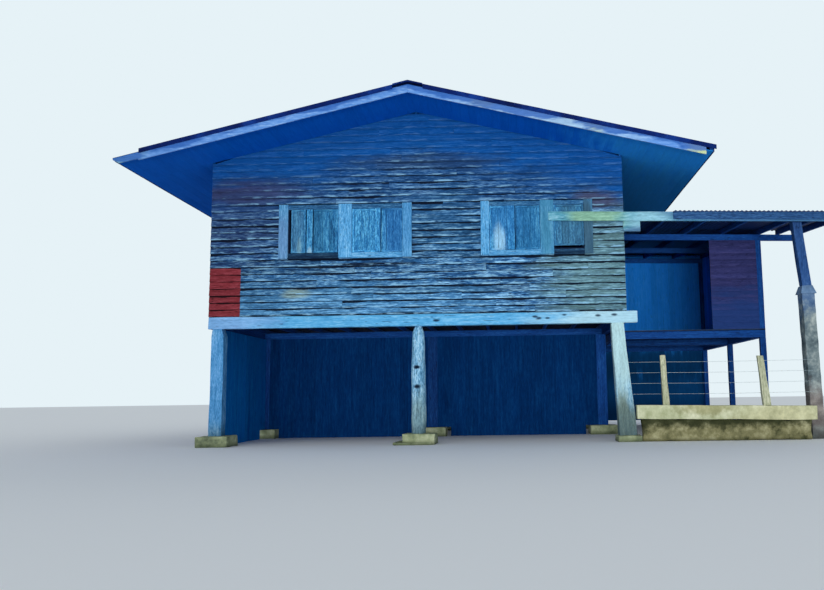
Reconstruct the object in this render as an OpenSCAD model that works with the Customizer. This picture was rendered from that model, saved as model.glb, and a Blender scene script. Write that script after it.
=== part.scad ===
// Timber stilt house with a low gable roof, shuttered windows and a side lean-to with a raised veranda.
// Millimetres. X runs to the right along the front, Y to the back, Z up.
// The origin lies under the middle front post, on the underside of its pad and in the front wall's plane.

/* [Raised room] */
// Width of the room over the side walls
house_w = 7300; // [6800:50:7800]
// Depth of the room over the end walls
house_d = 8400; // [7400:100:9600]
// Thickness of the stud walls with their boards
wall_t = 90; // [70:5:120]
// Height of the side walls from the sill beam to the wall plate
wall_h = 2525; // [2350:5:2800]
// Thickness of the floor boards
floor_t = 25; // [20:1:40]

/* [Posts and pads] */
// Height of the underside of the sill beams over the ground
sill_z = 2030; // [1800:10:2400]
// Bays between post rows from front to back
bays = 3; // [2:1:4]
// Distance from a side wall's outer face to the post centres
post_inset_x = 170; // [160:5:200]
// Distance from an end wall's outer face to the post centres
post_inset_y = 110; // [110:5:160]
// Width of the squared posts under the house
post_w = 200; // [160:10:240]
// Width of the sawn left front post
left_post_w = 225; // [200:5:280]
// Girth of the hewn middle front post
middle_post_w = 256; // [220:2:280]
// Distance of the middle front post to the right of the ridge line
middle_post_x = 24; // [0:2:40]
// Width of the right front post at its foot
right_post_foot_w = 300; // [260:5:320]
// How far the foot of the right front post stands out of plumb
right_post_lean = 130; // [0:5:150]
// Difference in width between that post's foot and head
right_post_taper = 95; // [0:5:110]
// Side of the square concrete pads
pad_w = 550; // [460:10:560]
// Height of the concrete pads
pad_h = 182; // [120:2:220]
// Length of the low pad under the right front post
low_pad_w = 410; // [400:5:600]
// Height of that low pad
low_pad_h = 105; // [80:5:120]

/* [Floor frame] */
// Height of the sill beams
sill_h = 205; // [180:5:240]
// Thickness of the sill beams
sill_t = 120; // [90:5:150]
// Distance that the sill beams stand back from the wall face
sill_recess = 15; // [0:5:30]
// Length of the front sill beam past the right wall
sill_run_on = 180; // [0:10:300]
// Height of the floor joists
joist_h = 75; // [60:5:90]
// Width of the floor joists
joist_w = 50; // [38:1:70]
// Number of floor joists
joists = 13; // [9:1:16]

/* [Roof] */
// Pitch of the main roof in degrees
pitch = 13.4; // [11:0.1:16]
// Overhang of the roof past the front and back walls
gable_overhang = 1160; // [800:10:1400]
// Overhang of the left eave past the side wall
left_eave = 1220; // [900:10:1300]
// Overhang of the right eave past the side wall
right_eave = 1375; // [1100:5:1500]
// Depth of the rolled roof sheets
sheet_t = 45; // [30:1:60]
// Height of the rolls over the pans of the sheets
roll_h = 32; // [15:1:34]
// Width of each roll at its foot
roll_w = 130; // [80:5:150]
// Number of rolls from the front verge to the back one
rolls = 51; // [40:1:60]
// Height of the purlins
purlin_h = 45; // [40:5:100]
// Width of the purlins
purlin_w = 50; // [40:1:75]
// Number of purlins on each slope
purlins = 6; // [4:1:8]
// Height of the rafters
rafter_h = 155; // [100:5:180]
// Thickness of the rafters
rafter_t = 50; // [40:1:75]
// Number of rafter pairs
rafter_pairs = 7; // [4:1:9]
// Thickness of the soffit boards under the overhangs
soffit_t = 10; // [8:1:20]
// Thickness of the eave boards
eave_board_t = 22; // [18:1:30]
// Number of tie beams with king posts under the ridge beam
trusses = 3; // [1:1:4]
// Thickness of the tie beams and king posts
truss_t = 90; // [70:5:120]
// Height of the ridge beam
ridge_beam_h = 180; // [140:5:220]
// Height of the wall plates
plate_h = 100; // [75:5:130]
// Height of the barge boards
barge_h = 132; // [110:2:170]
// Thickness of the barge boards
barge_t = 25; // [18:1:40]
// Length of the narrow tail at the left end of the barge boards
barge_tail = 430; // [200:10:600]
// Amount cut off the top of that tail
barge_tail_cut = 26; // [10:1:50]
// Amount that the foot of the tail's end is cut back
barge_foot_cut = 110; // [20:5:200]
// Distance that the right barge boards stop short of the eave
barge_stop = 165; // [60:5:250]
// Length of each wing of the ridge cap
ridge_wing = 250; // [180:5:320]
// Thickness of the ridge cap
ridge_cap_t = 26; // [15:1:40]
// Width of the verge caps on top of the sheets
verge_w = 170; // [100:5:220]
// Thickness of the verge caps
verge_t = 12; // [8:1:20]
// Depth of the verge caps' front lips over the sheet edge
verge_lip = 18; // [5:1:40]

/* [Windows] */
// Height of the window openings over the sill beam
win_sill = 1100; // [850:5:1150]
// Height of the window openings
win_h = 790; // [760:5:900]
// Height of the head boards and bottom boards of the windows
win_board = 80; // [40:5:120]
// Distance that the window casings stand out from the wall
casing_t = 40; // [25:1:50]
// Thickness of the linings in the window openings
lining_t = 28; // [20:1:40]
// Thickness of the shutter leaves
leaf_t = 28; // [20:1:35]
// Clearance round the shutter leaves
leaf_gap = 4; // [2:1:8]
// Width of each double window's opening
win_w = 894; // [800:2:900]
// Width of the wide board between paired windows
mullion_w = 235; // [180:5:260]
// Width of the side casings
jamb_w = 165; // [110:5:170]
// Place of the left front window pair's middle board, left of the ridge line
left_pair_x = 1252; // [1240:2:1300]
// Place of the right front window pair's middle board, right of the ridge line
right_pair_x = 2300; // [2270:2:2310]
// Width of the narrow single window beside it
narrow_w = 533; // [440:1:540]
// Gap left open beside the worn first leaf
worn_gap = 53; // [10:1:80]
// Width of the worn first leaf
worn_leaf_w = 270; // [240:1:300]
// Height of the open part under the two worn leaves of the left pair
short_leaf = 10; // [4:2:100]
// Height of the broken part under the last leaf
broken_h = 60; // [40:5:140]

/* [Doorway] */
// Width of the doorway to the veranda
door_w = 900; // [750:10:1000]
// Height of the doorway over the floor
door_h = 1850; // [1750:10:1900]
// Distance from the front wall to the doorway's front edge
door_y = 5300; // [5200:50:5600]

/* [Lean-to] */
// Width of the raised veranda past the right wall
lean_w = 3050; // [2800:10:3400]
// Distance from the front wall back to the raised veranda
lean_set_back = 2200; // [1800:10:2500]
// Depth of the raised veranda from front to back
lean_d = 5000; // [4700:50:5300]
// Pitch of the lean-to roof, up to the back, in degrees
lean_pitch = 4; // [2:0.1:4.2]
// Underside of the long front beam at its left end, over the sill beam
lean_beam_rise = 1597; // [1500:1:1700]
// Fall of the long front beam to the right in degrees
lean_fall = 1.24; // [0.6:0.02:2]
// Height of the long front beam
lean_beam_h = 165; // [140:5:200]
// Thickness of the long front beam
lean_beam_t = 40; // [30:1:60]
// Length of the front beam across the house front
lean_beam_lap = 1325; // [900:5:1500]
// Length of the front beam past the veranda
lean_run_on = 850; // [400:10:1000]
// Distance from the right wall to the fascia
fascia_x = 850; // [500:10:1100]
// Depth of the corrugated lean-to sheets
lean_sheet_t = 20; // [15:1:50]
// Distance that the lean-to sheets stand out past the fascia
lean_drip = 25; // [10:5:60]
// Height of the lean-to rafters
lean_rafter_h = 100; // [75:5:120]
// Width of the lean-to rafters
lean_rafter_w = 50; // [40:1:75]
// Height of the roof beams over the veranda posts
tie_h = 120; // [90:5:150]
// Width of the veranda's posts and beams
lean_post_w = 110; // [90:5:130]
// Drop of the veranda floor under the house floor beam's top
veranda_drop = 180; // [100:5:240]
// Height of the veranda floor beams
veranda_beam_h = 140; // [110:5:180]
// Thickness of the veranda floor boards
veranda_floor_t = 30; // [20:1:40]
// Width of the boarded screen at the veranda's outer front corner
screen_w = 930; // [600:10:1200]
// Thickness of the veranda's boarded walls
screen_t = 30; // [20:1:45]

/* [Concrete column] */
// Width of the lower concrete column
column_w = 215; // [180:5:260]
// Height of the lower concrete column
column_h = 2490; // [2300:5:2600]
// Width of the cap's broad lower edge
cap_w = 272; // [250:2:300]
// Height of the sloped cap
cap_h = 145; // [120:5:200]
// Width of the upper post on the cap
upper_post_w = 160; // [120:5:200]
// How far the upper post's head leans to the left
upper_post_lean = 130; // [0:5:150]

/* [Kerb and fence] */
// Height of the kerb beam
kerb_h = 232; // [180:2:260]
// Depth of the kerb beam
kerb_d = 200; // [160:5:240]
// Top of the kerb beam over the ground at its left end
kerb_top = 614; // [560:2:660]
// Fall of the kerb beam to the right in degrees
kerb_fall = 1; // [0:0.1:1.6]
// Distance that the kerb beam stops short of the column's middle
kerb_stop = 42; // [-60:2:90]
// Distance that the rough wall under the kerb beam stops short of both its ends
kerb_wall_inset = 85; // [60:5:300]
// Height of the fence stakes over the kerb
stake_h = 850; // [700:10:950]
// Thickness of the fence stakes
stake_w = 105; // [80:1:125]
// Number of fence wires
wires = 4; // [2:1:6]
// Thickness of the fence wires
wire_d = 5; // [4:1:8]

/* [Hidden] */

// Half widths and levels that the rest is set out from
half_w = house_w / 2;
sill_top = sill_z + sill_h;
floor_top = sill_top + floor_t;
plate_top = sill_top + wall_h + plate_h;
roof_under = sheet_t + purlin_h + rafter_h;
ridge_z = plate_top + roof_under / cos(pitch) + half_w * tan(pitch);
left_eave_x = half_w + left_eave;
right_eave_x = half_w + right_eave;
post_x = half_w - post_inset_x;
row_step = (house_d - 2 * post_inset_y) / bays;
cross_beam_h = sill_h - joist_h;
win_z = sill_top + win_sill;
win_top = win_z + win_h;
// Lean-to levels and places
lean_x0 = half_w - lean_beam_lap;
lean_x1 = half_w + lean_w;
lean_end_x = lean_x1 + lean_run_on;
lean_y1 = lean_set_back + lean_d;
lean_z0 = sill_top + lean_beam_rise;
veranda_top = sill_top - veranda_drop;
veranda_beam_z = veranda_top - veranda_floor_t - veranda_beam_h;
veranda_rows = [lean_set_back, (lean_set_back + lean_y1 - lean_post_w) / 2, lean_y1 - lean_post_w];
lean_pad_w = 2.4 * lean_post_w;
lean_pad_h = 100;
column_set_out = 115;
column_x = lean_x1 + column_set_out;
column_y = (kerb_d + column_w) / 2;
// Left edges of the lean-to rafters: the ones over the veranda, then the short ones past it
fascia_x0 = half_w + fascia_x;
long_rafter_xs = [for (i = [0:4]) between(half_w, lean_x1 - lean_rafter_w, i / 4)];
short_rafter_xs = [for (share = [0.45, 1]) between(lean_x1, lean_end_x - 2 * lean_rafter_w, share)];
kerb_set_out = 105;
kerb_x0 = half_w + kerb_set_out;
kerb_x1 = column_x - kerb_stop;
stake_xs = [for (share = [0.17, 0.737]) between(kerb_x0, kerb_x1, share)];

// Height of the main roof's top face at a distance x from the ridge
function roof_z(x) = ridge_z - abs(x) * tan(pitch);
// Height of the kerb beam's top at x
function kerb_z(x) = kerb_top - (x - kerb_x0) * tan(kerb_fall);
// A place on the way from a to b
function between(a, b, share) = a + (b - a) * share;

// Extrudes an outline drawn in X and Z from y0 to y1
module across(y0, y1) {
    translate([0, y1, 0]) rotate([90, 0, 0]) linear_extrude(y1 - y0) children();
}

// Outline of a strip that lies between two depths under the roof's top face, from x0 to x1
module roof_strip(x0, x1, top, bottom) {
    polygon([[x0, roof_z(x0) - top / cos(pitch)], [x1, roof_z(x1) - top / cos(pitch)],
        [x1, roof_z(x1) - bottom / cos(pitch)], [x0, roof_z(x0) - bottom / cos(pitch)]]);
}

// The lean-to falls to the right along its front beam and rises to the back: this is its tilted frame
module lean_frame(rise) {
    translate([lean_x0, -casing_t, lean_z0]) rotate([rise, lean_fall, 0]) children();
}

// What of the children lies between two heights over the front beam's underside, in the roof's tilted frame
module lean_layer(low, high) {
    reach = lean_x1 + lean_y1;
    intersection() {
        lean_frame(lean_pitch) block([-reach, -reach, low], [reach, reach, high]);
        union() children();
    }
}
lean_rafter_top = lean_beam_h;
lean_tie_top = lean_beam_h - lean_rafter_h;
lean_post_top = lean_tie_top - tie_h;

// A box from its lowest corner to its highest corner
module block(low, high) {
    translate(low) cube(high - low);
}

// A post that tapers from its foot to its head, each given as [x, y, z, width, depth]
module tapered_post(foot, head) {
    slice = 2;
    hull() {
        block([foot[0] - foot[3] / 2, foot[1] - foot[4] / 2, foot[2]],
            [foot[0] + foot[3] / 2, foot[1] + foot[4] / 2, foot[2] + slice]);
        block([head[0] - head[3] / 2, head[1] - head[4] / 2, head[2] - slice],
            [head[0] + head[3] / 2, head[1] + head[4] / 2, head[2]]);
    }
}

// Rows of posts under the house
function row_y(i) = post_inset_y + i * row_step;
row_last = bays;

module pad(x, y, w, h) {
    block([x - w / 2, y - w / 2, 0], [x + w / 2, y + w / 2, h]);
}

// The middle front pad stands on a thin, wider plate that shows at its left
module middle_pad() {
    plate_h = 45;
    plate_run_on = 100;
    pad_shift = 28;
    x = middle_post_x + pad_shift;
    pad(x, row_y(0), pad_w, pad_h);
    pad(x - plate_run_on, row_y(0), pad_w + plate_run_on, plate_h);
}

module post_pads() {
    low_pad_shift = 12;
    low_pad_x = post_x + right_post_lean + low_pad_shift;
    color("#b9b5a0") {
        for (i = [0:row_last]) pad(-post_x, row_y(i), pad_w, pad_h);
        for (i = [1:row_last], x = [0, post_x]) pad(x, row_y(i), pad_w, pad_h);
        middle_pad();
        pad(low_pad_x, row_y(0), low_pad_w, low_pad_h);
        for (y = veranda_rows)
            pad(lean_x1 - lean_post_w / 2, y + lean_post_w / 2, lean_pad_w, lean_pad_h);
    }
}

// The left post's head is cut narrower from a shoulder up
module front_left_post() {
    shoulder_drop = 130;
    shoulder = sill_z - shoulder_drop;
    waist_cut = 8;
    waist_w = left_post_w - waist_cut;
    head_cut = 50;
    head_shift = 10;
    head_x = -post_x - head_shift;
    color("#a9b4c4") {
        tapered_post([-post_x, row_y(0), pad_h, left_post_w, post_w],
            [-post_x, row_y(0), shoulder, waist_w, post_w]);
        tapered_post([-post_x, row_y(0), shoulder, waist_w, post_w],
            [head_x, row_y(0), sill_z, waist_w - head_cut, post_w - head_cut / 2]);
    }
}

// Old mortises in the middle post's front
mortise_w = 75;
mortise_h = 48;
mortise_d = 70;

// The middle post is a hewn log: each ring is [height, girth], and its head narrows at the sill beam
module front_middle_post() {
    rings = [[pad_h, middle_post_w - 12], [between(pad_h, sill_z, 0.14), middle_post_w],
        [between(pad_h, sill_z, 0.5), middle_post_w - 10],
        [between(pad_h, sill_z, 0.82), middle_post_w - 24],
        [between(pad_h, sill_z, 0.94), middle_post_w - 56], [sill_z, middle_post_w - 130]];
    slice = 2;
    mortise_zs = [between(pad_h, sill_z, 0.42), between(pad_h, sill_z, 0.6)];
    color("#a7b6c2") translate([middle_post_x, row_y(0), 0]) difference() {
        for (i = [0:len(rings) - 2]) hull() {
            translate([0, 0, rings[i][0]]) rotate(15) cylinder(d = rings[i][1], h = slice, $fn = 12);
            translate([0, 0, rings[i + 1][0] - slice])
                rotate(15) cylinder(d = rings[i + 1][1], h = slice, $fn = 12);
        }
        for (z = mortise_zs) block([-mortise_w / 2, -middle_post_w, z],
            [mortise_w / 2, mortise_d - middle_post_w / 2, z + mortise_h]);
    }
}

module front_right_post() {
    color("#c0ccc4") tapered_post(
        [post_x + right_post_lean, row_y(0), low_pad_h, right_post_foot_w, post_w + 20],
        [post_x, row_y(0), sill_z, right_post_foot_w - right_post_taper, post_w - 10]);
}

module squared_post(x, y) {
    block([x - post_w / 2, y - post_w / 2, pad_h], [x + post_w / 2, y + post_w / 2, sill_z]);
}

module squared_posts() {
    color("#7d8890") for (i = [1:row_last], x = [-post_x, 0, post_x]) squared_post(x, row_y(i));
}

// The front beam runs on past the right wall, where the lean-to stands
module end_sill_beams() {
    color("#93b6d8") for (end = [[sill_recess, sill_run_on], [house_d - sill_recess - sill_t, 0]])
        block([-half_w, end[0], sill_z], [half_w + end[1], end[0] + sill_t, sill_top]);
}

module side_sill_beams() {
    color("#8aa3b8") for (s = [-1, 1])
        block([s > 0 ? half_w - sill_recess - sill_t : -half_w + sill_recess, sill_recess + sill_t, sill_z],
            [s > 0 ? half_w - sill_recess : -half_w + sill_recess + sill_t,
                house_d - sill_recess - sill_t, sill_top]);
}

module cross_beams() {
    inner = half_w - sill_recess - sill_t;
    color("#5b6872") for (i = [1:row_last - 1])
        block([-inner, row_y(i) - sill_t / 2, sill_z],
            [inner, row_y(i) + sill_t / 2, sill_z + cross_beam_h]);
}

module floor_joists() {
    inner = half_w - sill_recess - sill_t;
    step = (2 * inner - joist_w) / (joists - 1);
    y0 = sill_recess + sill_t;
    color("#5b6872") for (i = [0:joists - 1])
        block([-inner + i * step, y0, sill_z + cross_beam_h],
            [-inner + i * step + joist_w, house_d - y0, sill_top]);
}

module floor_boards() {
    color("#7d6f5e") block([-half_w + wall_t, wall_t, sill_top],
        [half_w - wall_t, house_d - wall_t, floor_top]);
}

// Outline of an end wall, up to the underside of the purlins
module gable_outline() {
    top = (sheet_t + purlin_h) / cos(pitch);
    polygon([[-half_w, sill_top], [half_w, sill_top], [half_w, roof_z(half_w) - top],
        [0, roof_z(0) - top], [-half_w, roof_z(half_w) - top]]);
}

// Openings of the front windows, each as [left edge, right edge]
pair_half = mullion_w / 2;
front_windows = [[-left_pair_x - pair_half - win_w, -left_pair_x - pair_half],
    [-left_pair_x + pair_half, -left_pair_x + pair_half + win_w],
    [right_pair_x - pair_half - win_w, right_pair_x - pair_half],
    [right_pair_x + pair_half, right_pair_x + pair_half + narrow_w]];
// Openings of the rear windows, and of the left side's windows along Y
rear_windows = [for (x = [-house_w / 4, house_w / 4]) [x - win_w / 2, x + win_w / 2]];
side_windows = [for (y = [house_d * 0.3, house_d * 0.7]) [y - win_w / 2, y + win_w / 2]];

module opening(w) {
    translate([w[0], win_z]) square([w[1] - w[0], win_h]);
}

module front_wall() {
    color("#7f8f98") across(0, wall_t) difference() {
        gable_outline();
        for (w = front_windows) opening(w);
    }
}

module rear_wall() {
    color("#7f8f98") across(house_d - wall_t, house_d) difference() {
        gable_outline();
        for (w = rear_windows) opening(w);
    }
}

// Extrudes an outline drawn in Y and Z from x0 to x1
module along(x0, x1) {
    translate([x0, 0, 0]) rotate([90, 0, 90]) linear_extrude(x1 - x0) children();
}

module left_wall() {
    color("#7f8f98") along(-half_w, -half_w + wall_t) difference() {
        translate([wall_t, sill_top]) square([house_d - 2 * wall_t, wall_h]);
        for (w = side_windows) opening(w);
    }
}

module right_wall_part(y0, y1, z0) {
    block([half_w - wall_t, y0, z0], [half_w, y1, sill_top + wall_h]);
}

module right_wall() {
    color("#7f8f98") {
        right_wall_part(wall_t, door_y, sill_top);
        right_wall_part(door_y + door_w, house_d - wall_t, sill_top);
    }
}

module right_wall_over_door() {
    color("#7f8f98") right_wall_part(door_y, door_y + door_w, floor_top + door_h);
}

// The plates' tops are bevelled to the rafters
module wall_plates() {
    color("#6b757c") for (s = [0, 1]) mirror([s, 0, 0]) across(wall_t, house_d - wall_t)
        polygon([[half_w - wall_t, plate_top - plate_h], [half_w, plate_top - plate_h], [half_w, plate_top],
            [half_w - wall_t, plate_top + wall_t * tan(pitch)]]);
}

// Casings of a run of windows: uprights beside and between them, thinner boards over and under them,
// a ledge, and a lining in each opening
module casings(run, edge_w, sill_d, wall_depth) {
    first = run[0][0];
    last = run[len(run) - 1][1];
    ear = 7;
    board_t = casing_t - 14;
    across(-board_t, 0) difference() {
        translate([first, win_z - win_board]) square([last - first, win_h + 2 * win_board]);
        for (w = run) opening(w);
    }
    uprights = concat([[first - edge_w, first]], [for (i = [1:1:len(run) - 1]) [run[i - 1][1], run[i][0]]],
        [[last, last + edge_w]]);
    across(-casing_t, 0) for (u = uprights)
        translate([u[0], win_z - win_board - ear]) square([u[1] - u[0], win_h + 2 * (win_board + ear)]);
    for (w = run) across(0, wall_depth) difference() {
        opening(w);
        translate([w[0] + lining_t, win_z + lining_t])
            square([w[1] - w[0] - 2 * lining_t, win_h - 2 * lining_t]);
    }
    block([first, -casing_t - sill_d, win_z - win_board - sill_d], [last, 0, win_z - win_board]);
}

module front_window_casings() {
    ledge = 18;
    color("#9fbcd2") {
        casings([front_windows[0], front_windows[1]], jamb_w, ledge, wall_t);
        casings([front_windows[2], front_windows[3]], jamb_w - 15, ledge, wall_t);
    }
}

// One shutter leaf in front of the lining, from x0 to x1, open to a height low at its foot, with a cover
// strip of the given width on its left edge
module leaf(x0, x1, low, strip) {
    strip_t = 14;
    across(-leaf_t, 0) translate([x0, win_z + low]) square([x1 - x0, win_h - low - leaf_gap]);
    if (strip > 0) across(-leaf_t - strip_t, -leaf_t)
        translate([x0, win_z + low]) square([strip, win_h - low - leaf_gap]);
}

half_leaf_w = win_w / 2 - leaf_gap * 1.5;

// Both leaves of a double window: the first leaf's left gap and width, the second one's cover strip, and
// the height that both leave open at the foot
module leaf_pair(w, gap, first_w, strip, low) {
    leaf(w[0] + gap, w[0] + gap + first_w, low, 0);
    leaf(w[0] + gap + first_w + leaf_gap, w[1] - leaf_gap, low, strip);
}

module front_left_shutters() {
    color("#6f8ba3") {
        leaf_pair(front_windows[0], worn_gap, worn_leaf_w, 106, short_leaf);
        leaf_pair(front_windows[1], leaf_gap, half_leaf_w, 60, leaf_gap);
    }
}

module front_right_shutters() {
    color("#7396ab") {
        leaf_pair(front_windows[2], leaf_gap, half_leaf_w, 110, leaf_gap);
        leaf(front_windows[3][0] + leaf_gap, front_windows[3][1] - leaf_gap, broken_h, 0);
    }
}

// The left wall's outer face is at the back of the outline, turned from the front
module on_left_wall() {
    translate([-half_w, house_d, 0]) rotate(-90) children();
}

module on_rear_wall() {
    translate([0, house_d, 0]) rotate(180) children();
}

module other_window_casings() {
    ledge = 18;
    edge_w = jamb_w - 45;
    color("#8fa6b6") {
        on_left_wall() for (w = side_windows)
            casings([[house_d - w[1], house_d - w[0]]], edge_w, ledge, wall_t);
        on_rear_wall() for (w = rear_windows) casings([w], edge_w, ledge, wall_t);
    }
}

module other_shutters() {
    strip = 60;
    color("#6f8ba3") {
        on_left_wall() for (w = side_windows)
            leaf_pair([house_d - w[1], house_d - w[0]], leaf_gap, half_leaf_w, strip, leaf_gap);
        on_rear_wall() for (w = rear_windows) leaf_pair(w, leaf_gap, half_leaf_w, strip, leaf_gap);
    }
}

// Width and thickness of the face boards round the doorway
door_edge = 100;
door_face_t = 30;

module door_frame() {
    color("#8fa6b6") {
        along(half_w - wall_t, half_w) difference() {
            translate([door_y, floor_top]) square([door_w, door_h]);
            translate([door_y + lining_t, floor_top]) square([door_w - 2 * lining_t, door_h - lining_t]);
        }
        along(half_w, half_w + door_face_t) difference() {
            translate([door_y - door_edge, floor_top]) square([door_w + 2 * door_edge, door_h + door_edge]);
            translate([door_y, floor_top]) square([door_w, door_h]);
        }
    }
}

module ridge_beam() {
    top = (sheet_t + purlin_h) / cos(pitch);
    color("#4f5d68") block([-rafter_t / 2, wall_t, ridge_z - top - ridge_beam_h],
        [rafter_t / 2, house_d - wall_t, ridge_z - top - rafter_t / 2 * tan(pitch)]);
}

// Tie beams across the room at the height of the wall plates, and king posts from them to the ridge beam
truss_ys = [for (i = [1:1:trusses]) between(0, house_d, i / (trusses + 1)) - truss_t / 2];

module tie_beams() {
    inner = half_w - wall_t;
    color("#4f5d68") for (y = truss_ys)
        block([-inner, y, plate_top - plate_h], [inner, y + truss_t, plate_top]);
}

module king_posts() {
    top = (sheet_t + purlin_h) / cos(pitch);
    color("#4f5d68") for (y = truss_ys)
        block([-truss_t / 2, y, plate_top], [truss_t / 2, y + truss_t, ridge_z - top - ridge_beam_h]);
}

// Front faces of the rafter pairs
rafter_ys = [for (i = [0:rafter_pairs - 1])
    between(wall_t, house_d - wall_t - rafter_t, i / (rafter_pairs - 1))];

module rafters() {
    color("#4f5d68") for (y = rafter_ys) across(y, y + rafter_t) {
        roof_strip(rafter_t / 2, half_w, sheet_t + purlin_h, roof_under);
        mirror([1, 0]) roof_strip(rafter_t / 2, half_w, sheet_t + purlin_h, roof_under);
    }
}

// Inner edge of a slope's purlin, counted from the ridge
function purlin_x(eave_x, i) = between(purlin_w, eave_x - 2 * purlin_w, i / (purlins - 1));

module purlin_row(eave_x) {
    for (i = [0:purlins - 1])
        roof_strip(purlin_x(eave_x, i), purlin_x(eave_x, i) + purlin_w, sheet_t, sheet_t + purlin_h);
}

module purlin_rows() {
    color("#53626e") across(-gable_overhang + barge_t, house_d + gable_overhang - barge_t) {
        purlin_row(right_eave_x);
        mirror([1, 0]) purlin_row(left_eave_x);
    }
}

// Lookouts fill the two outer bays between the purlins, in line with the rafters that carry the inner ones
module lookout_row(eave_x) {
    for (i = [purlins - 3, purlins - 2])
        roof_strip(purlin_x(eave_x, i) + purlin_w, purlin_x(eave_x, i + 1), sheet_t, sheet_t + purlin_h);
}

module eave_lookouts() {
    color("#53626e") for (y = rafter_ys) across(y, y + rafter_t) {
        lookout_row(right_eave_x);
        mirror([1, 0]) lookout_row(left_eave_x);
    }
}

// Clearance between the soffits of the two slopes at the ridge
soffit_gap = 5;

// Thin boards close the underside of the overhangs, flush under the purlins
module soffit_strip(x0, eave_x) {
    roof_strip(x0, eave_x - purlin_w, sheet_t + purlin_h, sheet_t + purlin_h + soffit_t);
}

module gable_soffits() {
    color("#35536f") at_gables() across(-gable_overhang + barge_t, 0) {
        soffit_strip(soffit_gap / 2, right_eave_x);
        mirror([1, 0]) soffit_strip(soffit_gap / 2, left_eave_x);
    }
}

module eave_soffits() {
    color("#35536f") across(0, house_d) {
        soffit_strip(half_w, right_eave_x);
        mirror([1, 0]) soffit_strip(half_w, left_eave_x);
    }
}

// A board along each eave covers the outer purlin and the soffit's edge
module eave_board(eave_x) {
    x = eave_x - purlin_w;
    roof_strip(x, x + eave_board_t, sheet_t, sheet_t + purlin_h + soffit_t);
}

module eave_boards() {
    color("#2f4560") across(-gable_overhang + barge_t, house_d + gable_overhang - barge_t) {
        eave_board(right_eave_x);
        mirror([1, 0]) eave_board(left_eave_x);
    }
}

// Cross-section of the sheets from verge to verge: flat pans between high rolls, with flattened tops
module roll_outline() {
    run = house_d + 2 * gable_overhang;
    step = run / rolls;
    half_foot = roll_w / 2;
    top_share = 0.45;
    half_top = half_foot * top_share;
    bends = [[-half_foot, -roll_h], [-half_top, 0], [half_top, 0], [half_foot, -roll_h]];
    polygon(concat([[0, -sheet_t], [0, -roll_h]],
        [for (i = [0:rolls - 1], b = bends) [(i + 0.5) * step + b[0], b[1]]],
        [[run, -roll_h], [run, -sheet_t]]));
}

// The sheets run down the right slope and are cut upright at the ridge and the eave
module rolled_sheets(eave_x) {
    color("#3f5872") intersection() {
        translate([0, -gable_overhang, ridge_z]) rotate([0, pitch, 0])
            along(-half_w, 2 * eave_x) roll_outline();
        block([0, -house_d, 0], [eave_x, 2 * house_d, 2 * ridge_z]);
    }
}

module left_roof_sheets() {
    mirror([1, 0, 0]) rolled_sheets(left_eave_x);
}

module right_roof_sheets() {
    rolled_sheets(right_eave_x);
}

module ridge_cap() {
    top = ridge_cap_t / cos(pitch);
    color("#2f4560") across(-gable_overhang - verge_t, house_d + gable_overhang + verge_t)
        polygon([[0, roof_z(0)], [ridge_wing, roof_z(ridge_wing)], [ridge_wing, roof_z(ridge_wing) + top],
            [0, roof_z(0) + top], [-ridge_wing, roof_z(ridge_wing) + top],
            [-ridge_wing, roof_z(ridge_wing)]]);
}

// Both gables' copies of what is drawn at the front one
module at_gables() {
    children();
    translate([0, house_d, 0]) mirror([0, 1, 0]) children();
}

// The left barge boards end in a narrow tail, whose foot is cut back
module left_barge_boards() {
    tail_x = left_eave_x - barge_tail;
    foot_x = left_eave_x - barge_foot_cut;
    color("#a4c4e4") at_gables() across(-gable_overhang, -gable_overhang + barge_t) mirror([1, 0])
        polygon([[0, roof_z(0) - sheet_t / cos(pitch)],
            [left_eave_x, roof_z(left_eave_x) - sheet_t / cos(pitch)],
            [left_eave_x, roof_z(left_eave_x) - (sheet_t + barge_tail_cut) / cos(pitch)],
            [foot_x, roof_z(foot_x) - (sheet_t + barge_h - barge_tail_cut) / cos(pitch)],
            [tail_x, roof_z(tail_x) - (sheet_t + barge_h - barge_tail_cut) / cos(pitch)],
            [tail_x, roof_z(tail_x) - (sheet_t + barge_h) / cos(pitch)],
            [0, roof_z(0) - (sheet_t + barge_h) / cos(pitch)]]);
}

// The right barge boards stop short of the eave
module right_barge_boards() {
    color("#a4c4e4") at_gables() across(-gable_overhang, -gable_overhang + barge_t)
        roof_strip(0, right_eave_x - barge_stop, sheet_t, sheet_t + barge_h);
}

// A verge cap lies on the sheets along a gable edge and turns down over their ends
module verge_cap(x0, x1) {
    across(-gable_overhang - verge_t, -gable_overhang + verge_w) roof_strip(x0, x1, -verge_t, 0);
    across(-gable_overhang - verge_t, -gable_overhang) roof_strip(x0, x1, 0, sheet_t + verge_lip);
}

module verge_caps() {
    color("#22364e") at_gables() {
        verge_cap(ridge_wing, right_eave_x);
        mirror([1, 0, 0]) verge_cap(ridge_wing, left_eave_x - barge_tail);
    }
}

// Boarding between the second row of posts, cut round their pads
module underfloor_screen() {
    board = 30;
    y = row_y(1) - post_w / 2;
    color("#33495e") difference() {
        for (x = [-post_x, 0])
            block([x + post_w / 2, y, 0], [x + post_x - post_w / 2, y + board, sill_z]);
        for (x = [-post_x, 0, post_x]) pad(x, row_y(1), pad_w, pad_h);
    }
}

// A board on edge along the lean-to's front, set out in front of the casings' face
module front_board(x0, x1, y0, y1, low) {
    lean_layer(-house_d, lean_rafter_top) intersection() {
        lean_frame(0) block([-lean_w, y0, low], [2 * lean_w, y1, 2 * lean_beam_h]);
        block([x0, -house_d, 0], [x1, house_d, ridge_z]);
    }
}

module lean_to_beam() {
    color("#c4d3c2") front_board(lean_x0, lean_end_x, -lean_beam_t, 0, 0);
}

lean_fascia_t = 22;

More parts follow.
